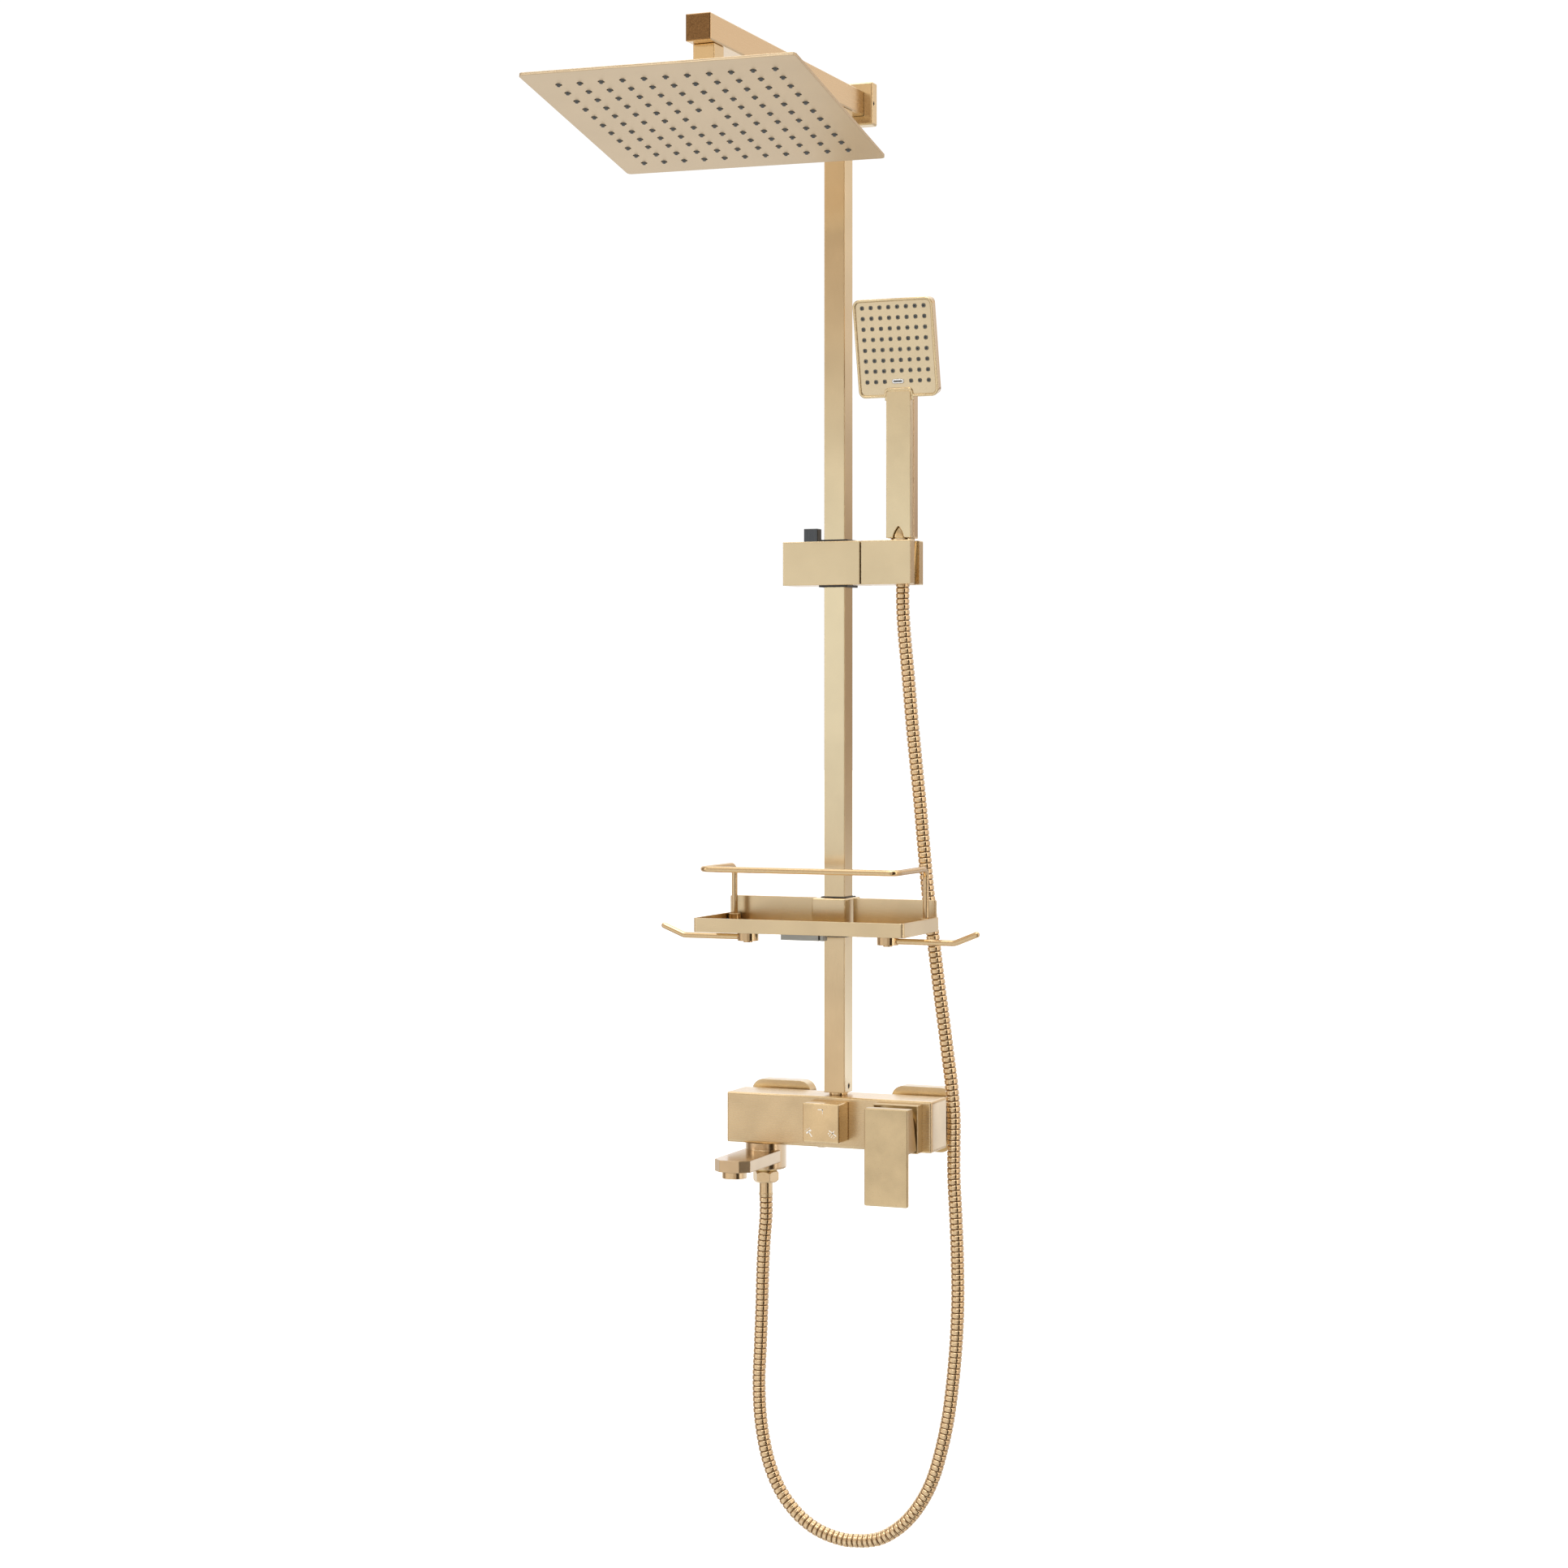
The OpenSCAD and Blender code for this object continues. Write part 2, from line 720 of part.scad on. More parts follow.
module handset_nozzles() {
    color(rubber_grey) at_face() difference() {
        union() {
            difference() {
                head_slab(2.8, 2.3, 3.6, 4);
                notch_tab(30, 9.4, -1, 5);
            }
            hand_grid() rotate([-90, 0, 0]) cylinder(r = 1.6, h = 3);
        }
        hand_grid() translate([0, -1, 0]) rotate([-90, 0, 0]) cylinder(r = 0.6, h = 6);
    }
}

module handset_badge() {
    color("silver") at_face() translate([0, 0.3, 15.6]) rotate([-90, 0, 0]) difference() {
        linear_extrude(1.1) round_rect(12, 4.2, 2.05);
        translate([0, 0, -1]) linear_extrude(1.4) round_rect(8.6, 1.2, 0.55);
    }
}

module handset_stem() {
    color(brass) difference() {
        union() {
            rod_z(hand_x, axis_y, handle_low - 1, handle_low + 15.8, 7);
            rod_z(hand_x, axis_y, handle_low - 12, handle_low - 0.1, 10.25);
            intersection() {
                rod_z(hand_x, axis_y, handle_low - 0.2, handle_low + 12, 10.1);
                sharp_box([hand_x - 12, handle_front - 1, handle_low - 1],
                          [hand_x + 12, handle_front + 5.6, handle_low + 13]);
            }
        }
        rod_z(hand_x, axis_y, handle_low - 13, handle_low + 17, 4.5);
    }
}

module hose_cone_nut() {
    color(gold) difference() {
        translate([hand_x, axis_y, nut_low])
            cylinder(r1 = nut_r_low - 0.15, r2 = nut_r_high, h = nut_high - nut_low);
        rod_z(hand_x, axis_y, handle_low - 12.2, nut_high + 1, 10.35);
        rod_z(hand_x, axis_y, nut_low - 1, nut_high, 4.5);
    }
}

// ---- hose ----

module hose_hex_nut() {
    color(gold) translate([-spout_x, axis_y, hex_bottom]) difference() {
        rotate(10) hex_nut(22.6, hex_top - hex_bottom, 6.8);
        translate([0, 0, 3.4]) cylinder(r = 10.1, h = 20);
    }
}

module hose_ferrule() {
    color(gold) difference() {
        union() {
            rod_z(-spout_x, axis_y, ferrule_bottom, hex_bottom + 3, 6.7);
            rod_z(-spout_x, axis_y, ferrule_bottom + 2, ferrule_bottom + 3.6, 7.1);
        }
        rod_z(-spout_x, axis_y, ferrule_bottom - 1, hex_bottom + 4, 4.5);
    }
}

module hose_loop() { color("#c9a36a") swept_tube(loop_route, hose_d / 2); }

module hose_riser() { color("#c9a36a") swept_tube(riser_route, hose_d / 2); }

// ---- shelf ----

// Tray outline set in by "inset"
module tray_outline(inset, r) {
    mid_y = -(shelf_front + shelf_back) / 2;
    translate([0, mid_y]) round_rect(shelf_w - 2 * inset, shelf_front - shelf_back - 2 * inset, r);
}

module shelf_tray() {
    notch = 19.5;
    back = -shelf_back;
    half = shelf_w / 2;
    color(gold) difference() {
        union() {
            translate([0, 0, tray_low]) linear_extrude(shelf_z - tray_low) tray_outline(0, 4);
            intersection() {
                translate([0, 0, tray_low]) linear_extrude(back_high - tray_low) tray_outline(0, 9);
                sharp_box([-half, back - 9, tray_low], [half, back + 1, back_high]);
            }
        }
        translate([0, 0, tray_low + sheet]) linear_extrude(back_high) tray_outline(sheet, 4);
        sharp_box([-notch, back - 17.6, tray_low - 1], [notch, back + 2, back_high + 1]);
        for (s = [-1, 1]) rod_z(s * hook_x, hook_y, tray_low - 1, tray_low + 5, 2.6);
        rod_z(-12, axis_y - 33, tray_low - 1, tray_low + 5, 2.6);
    }
}

module rail_corner(x, y, from, turn) {
    translate([x, y, rail_z]) rotate([0, 0, from]) rotate_extrude(angle = turn)
        translate([9, 0]) circle(rod_r);
}

module shelf_rail() {
    front = -shelf_front + rod_r - 2;
    color(gold) union() {
        translate([-rail_x + 9, front, rail_z]) rotate([0, 90, 0]) cylinder(r = rod_r, h = 2 * rail_x - 18);
        rail_corner(-rail_x + 9, front + 9, 180, 90);
        rail_corner(rail_x - 9, front + 9, 270, 90);
        for (s = [-1, 1]) {
            rod_y(s * rail_x, rail_z, front + 9, rail_y - 9, rod_r);
            translate([s * rail_x, rail_y - 9, rail_z - 9]) rotate([90, 0, 90])
                rotate_extrude(angle = 90) translate([9, 0]) circle(rod_r);
            rod_z(s * rail_x, rail_y, tray_low + sheet + 4, rail_z - 9, rod_r);
        }
    }
}

module rail_seats() {
    color(gold) for (s = [-1, 1]) difference() {
        rod_z(s * rail_x, rail_y, tray_low + sheet, shelf_z - 0.5, seat_r);
        rod_z(s * rail_x, rail_y, tray_low + sheet + 3.9, shelf_z, rod_r + 0.05);
    }
}

module shelf_clamp() {
    half = 17.5;
    inner = column_w / 2 + 2.6;
    color(gold) difference() {
        union() {
            soft_box([-half, axis_y - 27, tray_low + sheet], [half, axis_y + 15, back_high], 1.5);
        }
        post([-inner, axis_y - inner, tray_low - 1], [inner, axis_y + inner, back_high + 1], 1);
    }
}

module clamp_liner() {
    outer = column_w / 2 + 2.5;
    inner = column_w / 2 + 0.3;
    color(black) difference() {
        post([-outer, axis_y - outer, tray_low - 8.5], [outer, axis_y + outer, back_high + 1], 1);
        post([-inner, axis_y - inner, tray_low - 9], [inner, axis_y + inner, back_high + 2], 1.2);
    }
}

module clamp_lever() {
    color(dark_metal) difference() {
        union() {
            soft_box([-46, axis_y - 38, tray_low - 11], [-0.5, axis_y - 28, tray_low - 0.4], 0.8);
            rod_z(-12, axis_y - 33, tray_low - 1, tray_low + sheet + 1, 2.55);
        }
        sharp_box([-6.2, axis_y - 39, tray_low - 12], [-4.4, axis_y - 31, tray_low]);
    }
}

// Hook that points out to the right of its boss
module hook() {
    bend_r = 12;
    bend_x = 66;
    rise = 22;
    tip_r = rod_r + 0.05;
    union() {
        rod_z(0, 0, tray_low - 11, tray_low - 0.3, 10.4);
        rod_z(0, 0, tray_low - 12.6, tray_low - 10, 4.6);
        rod_z(0, 0, tray_low - 1, tray_low + sheet + 1.5, 2.55);
        rod_x(0, hook_z, 0, bend_x, rod_r);
        translate([bend_x, 0, hook_z + bend_r]) rotate([90, 0, 0]) rotate([0, 0, -90])
            rotate_extrude(angle = rise) translate([bend_r, 0]) circle(rod_r);
        translate([bend_x + bend_r * sin(rise), 0, hook_z + bend_r * (1 - cos(rise))])
            rotate([0, 90 - rise, 0]) translate([0, 0, -0.6]) rotate_extrude() intersection() {
                square([tip_r, 30]);
                union() {
                    square([tip_r, 21.6]);
                    translate([0, 21.6]) circle(tip_r);
                }
            }
    }
}

module hook_left() { color(gold) translate([-hook_x, hook_y, 0]) mirror([1, 0, 0]) hook(); }

module hook_right() { color(gold) translate([hook_x, hook_y, 0]) hook(); }

// ---- controls and spout ----

module diverter_knob() {
    half = knob_w / 2;
    color(gold) union() {
        soft_box([-half, knob_front, diverter_z - half], [half, body_front - 0.4, diverter_z + half], 1.6);
        rod_y(0, diverter_z, body_front - 1, axis_y - 6, 4);
    }
}

module cartridge_stem() {
    color("silver") union() {
        rod_y(lever_x, control_z, lever_pivot_y + 2.5, axis_y - 10, 5);
        sharp_box([lever_x - 1.6, lever_pivot_y - 2.4, control_z - 3],
                  [lever_x + 1.6, lever_pivot_y + 3, control_z + 3]);
        rod_x(lever_pivot_y, control_z, lever_x - 4.2, lever_x + 4.2, 1.4);
    }
}

// Two ears that reach from the lever's inside to its pin on the cartridge stem
module lever_ears() {
    difference() {
        union() {
            rod_y(lever_x, control_z, lever_front + 8, lever_pivot_y - 2.6, 5);
            intersection() {
                rod_y(lever_x, control_z, lever_front + 8, lever_pivot_y + 3, 5);
                union() {
                    sharp_box([lever_x - 6, lever_pivot_y - 5, control_z - 2.4],
                              [lever_x + 6, lever_pivot_y, control_z + 2.4]);
                    rod_x(lever_pivot_y, control_z, lever_x - 6, lever_x + 6, 2.4);
                }
            }
        }
        sharp_box([lever_x - 1.8, lever_pivot_y - 4.4, control_z - 6],
                  [lever_x + 1.8, lever_pivot_y + 4, control_z + 6]);
        rod_x(lever_pivot_y, control_z, lever_x - 6, lever_x + 6, 1.5);
    }
}

module lever_handle() {
    half = lever_w / 2;
    plate_back = lever_front + 4;
    color(gold) difference() {
        union() {
            intersection() {
                soft_box([lever_x - half, lever_front, lever_top - lever_len],
                         [lever_x + half, plate_back, lever_top], 1.5);
                bar_y([lever_x - half, lever_front, lever_top - lever_len],
                      [lever_x + half, plate_back, lever_top], 2.6);
            }
            translate([lever_x - half, 0, 0]) rotate([90, 0, 90]) linear_extrude(lever_w) polygon([
                [plate_back - 1, lever_top - 0.4], [lever_front + 13, lever_top - 0.4],
                [trim_front - 1.6, lever_top - 42.6], [plate_back - 1, lever_top - 42.6]
            ]);
        }
        rod_y(lever_x, control_z, lever_front + 9, trim_front + 3, 18.7);
        rod_z(lever_x, lever_front + 14, lever_top - 44, lever_top - 36, 2.2);
    }
    color(gold) lever_ears();
}

// Outline of the spout bar with its chamfered nose, over the hub
module spout_outline(inset) {
    w = spout_w / 2 - inset;
    reach = spout_reach - inset;
    nose = 8.5;
    polygon([
        [-w, 0], [w, 0], [w, -reach + nose], [w - nose, -reach], [-w + nose, -reach], [-w, -reach + nose]
    ]);
}

module spout() {
    edge = 2;
    color(gold) translate([-spout_x, axis_y, 0]) difference() {
        union() {
            translate([0, 0, bar_bottom]) linear_extrude(bar_top - bar_bottom) spout_outline(0);
            rotate_extrude() {
                translate([0, hub_bottom + edge]) square([hub_r, -body_h / 2 - 0.4 - hub_bottom - edge]);
                translate([0, hub_bottom]) square([hub_r - edge, 4]);
                translate([hub_r - edge, hub_bottom + edge]) circle(edge);
            }
        }
        rod_z(0, 0, hub_bottom - 1, 0, 10);
        intersection() {
            translate([0, 0, bar_bottom + 3]) linear_extrude(5.6) spout_outline(6);
            sharp_box([-30, -spout_reach, bar_bottom], [30, -8, bar_top]);
        }
        rod_z(0, aerator_y - axis_y, bar_bottom - 1, bar_bottom + 6, 10.6);
    }
}

module aerator() {
    color(gold) difference() {
        union() {
            rod_z(-spout_x, aerator_y, bar_bottom - 6.5, bar_bottom - 0.1, 12);
            rod_z(-spout_x, aerator_y, bar_bottom - 1, bar_bottom + 5, 10.5);
        }
        rod_z(-spout_x, aerator_y, bar_bottom - 7, bar_bottom - 4.5, 10.2);
        for (i = [-2:2], j = [-2:2]) if (abs(i) + abs(j) < 4)
            rod_z(-spout_x + i * 3.4, aerator_y + j * 3.4, bar_bottom - 5, bar_bottom + 6, 1.1);
    }
}

module spout_stem() {
    color(brass) difference() {
        union() {
            rod_z(-spout_x, axis_y, -body_h / 2 - 0.1, -9, 8.9);
            rod_z(-spout_x, axis_y, hub_bottom - 0.4, -body_h / 2 - 0.1, 9.93);
            rod_z(-spout_x, axis_y, hub_bottom - 2.3, hub_bottom - 0.4, 11);
            rod_z(-spout_x, axis_y, hub_bottom - 10, hub_bottom - 2.3, 10);
        }
        rod_z(-spout_x, axis_y, hub_bottom - 11, -8, 6);
    }
}

mixer_body();
inlet_unions();
union_nuts();
escutcheon_left();
escutcheon_right();
cartridge();
cartridge_nut();
cartridge_cover();
trim_plate();
diverter_cartridge();
body_plug();
column_nipple();
column_tube();
column_screw();
column_top_insert();
shower_arm();
arm_stub();
wall_flange();
flange_screw();
wall_bracket();
swivel_ball();
spout_stem();
hose_hex_nut();
hose_ferrule();
hose_loop();
ball_seal();
ball_washer();
socket_nut();
rain_head_shell();
rain_head_face();
rain_nozzles();
slider_body();
slider_liner();
holder_pivot();
hose_riser();
brake_pad();
release_button();
button_spring();
handset_holder();
handset_shell();
handset_front();
handset_face();
handset_nozzles();
handset_badge();
handset_stem();
hose_cone_nut();
shelf_tray();
shelf_rail();
rail_seats();
shelf_clamp();
clamp_liner();
clamp_lever();
hook_left();
hook_right();
diverter_knob();
cartridge_stem();
lever_handle();
spout();
aerator();
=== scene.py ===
import bpy
import bmesh
import math
import numpy as np
from mathutils import Matrix, Vector


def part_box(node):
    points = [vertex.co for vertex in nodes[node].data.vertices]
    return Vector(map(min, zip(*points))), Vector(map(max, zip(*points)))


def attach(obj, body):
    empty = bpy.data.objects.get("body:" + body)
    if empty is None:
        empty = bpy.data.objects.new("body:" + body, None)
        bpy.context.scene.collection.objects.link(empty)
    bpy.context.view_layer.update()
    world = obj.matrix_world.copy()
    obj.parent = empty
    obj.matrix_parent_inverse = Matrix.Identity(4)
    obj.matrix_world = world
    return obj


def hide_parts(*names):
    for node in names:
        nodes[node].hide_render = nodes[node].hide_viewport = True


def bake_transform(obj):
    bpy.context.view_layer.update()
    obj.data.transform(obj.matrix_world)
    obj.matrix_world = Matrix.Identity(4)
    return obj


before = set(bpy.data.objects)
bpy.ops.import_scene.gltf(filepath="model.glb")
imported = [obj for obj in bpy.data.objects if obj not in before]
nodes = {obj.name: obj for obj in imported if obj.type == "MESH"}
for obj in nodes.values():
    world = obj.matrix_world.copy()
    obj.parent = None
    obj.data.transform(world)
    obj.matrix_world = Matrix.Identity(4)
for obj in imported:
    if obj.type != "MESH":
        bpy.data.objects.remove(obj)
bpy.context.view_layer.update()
scene = bpy.context.scene

# ---------------------------------------------------------------- camera

camera_data = bpy.data.cameras.new("camera")
camera_data.lens = 69.8
camera_data.sensor_width = 36
camera_data.shift_y = -0.0492
camera = bpy.data.objects.new("camera", camera_data)
camera.location = (1.098, -2.841, 0.407)
camera.rotation_euler = (math.radians(90), 0, math.radians(22.5))
scene.collection.objects.link(camera)
scene.camera = camera
scene.view_settings.view_transform = "Standard"

# ---------------------------------------------------------------- helpers


def mesh_object(name, verts, faces, material, body=None, smooth=True):
    data = bpy.data.meshes.new(name)
    data.from_pydata([tuple(v) for v in verts], [], faces)
    data.validate()
    if smooth:
        data.polygons.foreach_set("use_smooth", [True] * len(data.polygons))
    data.materials.append(material)
    obj = bpy.data.objects.new(name, data)
    scene.collection.objects.link(obj)
    if body:
        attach(obj, body)
    return obj


def close_normals(obj):
    """Turns every face of a closed mesh outward."""
    bm = bmesh.new()
    bm.from_mesh(obj.data)
    bmesh.ops.recalc_face_normals(bm, faces=bm.faces)
    bm.to_mesh(obj.data)
    bm.free()


edge_radius = 0.0011


class Graph:
    """A material's nodes, made by short calls."""

    def __init__(self, name):
        self.material = bpy.data.materials.new(name)
        self.material.use_nodes = True
        self.tree = self.material.node_tree
        self.bsdf = self.tree.nodes["Principled BSDF"]

    def add(self, kind, **values):
        node = self.tree.nodes.new(kind)
        for key, value in values.items():
            if key in node.inputs:
                node.inputs[key].default_value = value
            else:
                setattr(node, key, value)
        return node

    def link(self, source, output, target, socket):
        self.tree.links.new(source.outputs[output], target.inputs[socket])

    def noise(self, scale, stretch=(1, 1, 1), detail=3.0, rough=0.6):
        place = self.add("ShaderNodeTexCoord")
        mapping = self.add("ShaderNodeMapping")
        mapping.inputs["Scale"].default_value = stretch
        self.link(place, "Object", mapping, "Vector")
        noise = self.add("ShaderNodeTexNoise", Scale=scale, Detail=detail, Roughness=rough)
        self.link(mapping, "Vector", noise, "Vector")
        return noise

    def blend(self, noise, low, high, start=0.35, end=0.65):
        ramp = self.add("ShaderNodeValToRGB")
        ramp.color_ramp.elements[0].position = start
        ramp.color_ramp.elements[1].position = end
        ramp.color_ramp.elements[0].color = (*low, 1)
        ramp.color_ramp.elements[1].color = (*high, 1)
        self.link(noise, "Fac", ramp, "Fac")
        return ramp

    def colour_mix(self, a, b, kind="MIX", mask=None):
        mix = self.add("ShaderNodeMix", data_type="RGBA", blend_type=kind)
        mix.inputs[0].default_value = 1.0
        if mask:
            self.tree.links.new(mask.outputs["Result"], mix.inputs[0])
        self.tree.links.new(a.outputs["Color"], mix.inputs[6])
        self.tree.links.new(b.outputs["Color"], mix.inputs[7])
        self.tree.links.new(mix.outputs[2], self.bsdf.inputs["Base Color"])

    def spread(self, noise, low, high):
        spread = self.add("ShaderNodeMapRange")
        spread.inputs["From Min"].default_value = 0.3
        spread.inputs["From Max"].default_value = 0.7
        spread.inputs["To Min"].default_value = low
        spread.inputs["To Max"].default_value = high
        self.link(noise, "Fac", spread, "Value")
        return spread

    def bump(self, noise, strength, distance):
        bump = self.add("ShaderNodeBump", Strength=strength, Distance=distance)
        self.link(noise, "Fac", bump, "Height")
        soft_edge = self.add("ShaderNodeBevel", samples=4, Radius=edge_radius)
        self.link(soft_edge, "Normal", bump, "Normal")
        self.link(bump, "Normal", self.bsdf, "Normal")
        return bump


def tone(colour, gain):
    return tuple(min(1.0, c * gain) for c in colour)


def brushed(name, colour, rough, along="z", streak=0.04, cloud=0.05, bump=0.04):
    """Brushed metal whose grain runs along one axis."""
    g = Graph(name)
    stretch = {"x": (0.02, 1, 1), "y": (1, 0.02, 1), "z": (1, 1, 0.02)}[along]
    if along == "z":
        across = g.add("ShaderNodeTangent", direction_type="RADIAL", axis="Z")
        g.link(across, "Tangent", g.bsdf, "Tangent")
        g.bsdf.inputs["Anisotropic"].default_value = 0.85
    grain = g.noise(3800, stretch, 4.0, 0.7)
    mottle = g.noise(20, (1, 1, 1), 3.0, 0.5)
    fine = g.blend(grain, tone(colour, 1 - streak), tone(colour, 1 + streak), 0.3, 0.7)
    wide = g.blend(mottle, (1 - cloud,) * 3, (1 + cloud,) * 3, 0.3, 0.7)
    g.colour_mix(fine, wide, "MULTIPLY")
    g.link(g.spread(grain, rough * 0.92, rough * 1.08), "Result", g.bsdf, "Roughness")
    g.bump(grain, bump, 0.00003)
    g.bsdf.inputs["Metallic"].default_value = 1.0
    return g.material


def satin(name, colour, rough, metallic=0.0, scale=900, vary=0.08, bump=0.1, coat=0.0, cloud=0.0):
    """Plain satin surface with a fine even texture, and a soft mottle where cloud is over 0."""
    g = Graph(name)
    fine = g.noise(scale, (1, 1, 1), 3.0, 0.6)
    ramp = g.blend(fine, tone(colour, 1 - vary), tone(colour, 1 + vary), 0.3, 0.7)
    if cloud:
        wide = g.blend(g.noise(34, (1, 1, 1), 3.0, 0.55), (1 - cloud,) * 3, (1 + cloud,) * 3, 0.3, 0.7)
        g.colour_mix(ramp, wide, "MULTIPLY")
    else:
        g.link(ramp, "Color", g.bsdf, "Base Color")
    g.link(g.spread(fine, rough * 0.9, rough * 1.1), "Result", g.bsdf, "Roughness")
    g.bump(fine, bump, 0.00004)
    g.bsdf.inputs["Metallic"].default_value = metallic
    g.bsdf.inputs["Coat Weight"].default_value = coat
    return g.material


# ---------------------------------------------------------------- materials

champagne = (0.745, 0.60, 0.375)
warm = (0.74, 0.575, 0.36)

gold_z = brushed("gold_brushed_z", champagne, 0.25, "z", 0.035, 0.05)
gold_x = brushed("gold_brushed_x", champagne, 0.24, "x", 0.03, 0.05)
gold_body = brushed("gold_body", (0.735, 0.575, 0.355), 0.27, "x", 0.015, 0.13, 0.02)
# painted light: the knob's gold is a brighter copy of the body's gold, standing in for the shade that falls on
# the body around the knob
gold_knob_painted_light = satin("gold_knob_painted_light", (0.78, 0.61, 0.365), 0.22, 1.0, 900, 0.03, 0.08, 0.0, 0.10)
gold_cast = satin("gold_cast", (0.685, 0.545, 0.33), 0.30, 1.0, 1300, 0.03, 0.08, 0.0, 0.10)
gold_spout = satin("gold_spout", (0.69, 0.54, 0.35), 0.20, 1.0, 900, 0.03, 0.05, 0.0, 0.05)
gold_plate = brushed("gold_plate", (0.67, 0.54, 0.365), 0.44, "x", 0.03, 0.02, 0.1)
gold_plate_face = satin("gold_face", (0.74, 0.615, 0.415), 0.32, 1.0, 900, 0.06, 0.15, 0.0, 0.03)
gold_rod = satin("gold_rod", (0.68, 0.505, 0.29), 0.15, 1.0, 400, 0.04, 0.04)
gold_polish = satin("gold_polish", (0.74, 0.59, 0.375), 0.19, 1.0, 500, 0.04, 0.04)
gold_moulded = satin("gold_moulded", (0.76, 0.62, 0.39), 0.20, 1.0, 700, 0.03, 0.05, 0.0, 0.04)
gold_shell = satin("gold_shell", (0.70, 0.545, 0.36), 0.20, 1.0, 700, 0.03, 0.05, 0.0, 0.04)
hose_gold = satin("hose_gold", (0.775, 0.59, 0.365), 0.13, 1.0, 300, 0.05, 0.04)
# painted shade: the dark brown stands in for the shade down in the hose's grooves
hose_groove_painted_shade = satin("hose_groove_painted_shade", (0.27, 0.165, 0.085), 0.35, 1.0, 300, 0.1, 0.05)
raw_brass = satin("raw_brass", (0.62, 0.44, 0.18), 0.3, 1.0, 600, 0.08, 0.1)
steel = brushed("steel", (0.62, 0.62, 0.61), 0.28, "z")
dark_metal = brushed("dark_metal", (0.10, 0.105, 0.11), 0.33, "z", 0.25)
grey_metal = brushed("grey_metal", (0.36, 0.36, 0.33), 0.36, "x", 0.12)
black = satin("black_plastic", (0.012, 0.012, 0.012), 0.42, 0.0, 700, 0.2, 0.15)
pale = satin("pale_plastic", (0.72, 0.69, 0.62), 0.45)
rubber = satin("grey_rubber", (0.065, 0.07, 0.07), 0.5, 0.0, 800, 0.15, 0.2)
# painted shade: near black stands in for the shade inside the nozzle holes and the badge's slot
hole_painted_shade = satin("hole_painted_shade", (0.012, 0.013, 0.014), 0.6, 0.0, 500, 0.1, 0.0)
tip_rubber = satin("tip_rubber", (0.115, 0.125, 0.12), 0.35, 0.0, 900, 0.15, 0.1)
mark = satin("mark", (0.90, 0.88, 0.82), 0.5, 0.0, 900, 0.04, 0.05)
chrome = satin("chrome", (0.80, 0.80, 0.80), 0.16, 1.0, 500, 0.03, 0.03)


def arm_with_painted_end_shade():
    """Brushed arm whose cut end, beyond end_y, is painted dark brown as painted shade, with a sandy grain."""
    g = Graph("gold_arm")
    end_y = -0.3882
    grain = g.noise(3800, (1, 0.012, 1), 4.0, 0.7)
    sand = g.noise(1600, (1, 1, 1), 2.0, 0.6)
    side = g.blend(grain, tone(warm, 0.965), tone(warm, 1.035), 0.3, 0.7)
    # painted shade: the cut end's dark brown stands in for the shade on the end face, broken by a sandy grain
    end = g.blend(sand, (0.17, 0.095, 0.04), (0.34, 0.20, 0.09), 0.35, 0.65)
    place = g.add("ShaderNodeTexCoord")
    axes = g.add("ShaderNodeSeparateXYZ")
    g.link(place, "Object", axes, "Vector")
    # mask of the painted end shade, past end_y
    mask = g.add("ShaderNodeMapRange")
    for socket, value in (("From Min", end_y), ("From Max", end_y - 0.0006)):
        mask.inputs[socket].default_value = value
    g.link(axes, "Y", mask, "Value")
    g.colour_mix(side, end, mask=mask)
    g.link(g.spread(grain, 0.24, 0.28), "Result", g.bsdf, "Roughness")
    g.bump(grain, 0.05, 0.00003)
    g.bsdf.inputs["Metallic"].default_value = 1.0
    return g.material


gold_arm = arm_with_painted_end_shade()

looks = {
    "mixer_body": gold_body, "inlet_unions": raw_brass, "union_nuts": gold_polish,
    "escutcheon_left": gold_x, "escutcheon_right": gold_x, "cartridge": pale,
    "cartridge_nut": raw_brass, "cartridge_cover": gold_polish, "trim_plate": gold_cast,
    "diverter_cartridge": pale, "body_plug": gold_polish, "column_nipple": gold_polish,
    "column_tube": gold_z, "column_screw": dark_metal, "column_top_insert": raw_brass,
    "shower_arm": gold_arm, "arm_stub": gold_z, "wall_flange": gold_z, "flange_screw": dark_metal,
    "wall_bracket": raw_brass, "swivel_ball": raw_brass,
    "spout_stem": raw_brass, "hose_hex_nut": gold_polish, "hose_ferrule": gold_polish,
    "ball_seal": black, "ball_washer": pale, "socket_nut": gold_polish,
    "rain_head_shell": gold_plate, "rain_head_face": gold_plate, "rain_nozzles": rubber,
    "slider_body": gold_x, "slider_liner": black, "holder_pivot": steel, "brake_pad": black,
    "release_button": dark_metal, "button_spring": steel, "handset_holder": gold_x,
    "handset_shell": gold_shell, "handset_front": gold_moulded, "handset_face": gold_plate_face,
    "handset_nozzles": rubber, "handset_badge": chrome, "handset_stem": gold_polish,
    "hose_cone_nut": gold_polish, "shelf_tray": gold_x, "shelf_rail": gold_rod,
    "rail_seats": gold_rod, "shelf_clamp": gold_z, "clamp_liner": black,
    "clamp_lever": grey_metal, "hook_left": gold_rod, "hook_right": gold_rod,
    "diverter_knob": gold_knob_painted_light, "cartridge_stem": steel, "lever_handle": gold_cast,
    "spout": gold_spout, "aerator": gold_polish,
}
for name, material in looks.items():
    data = nodes[name].data
    data.materials.clear()
    data.materials.append(material)

# ---------------------------------------------------------------- hose

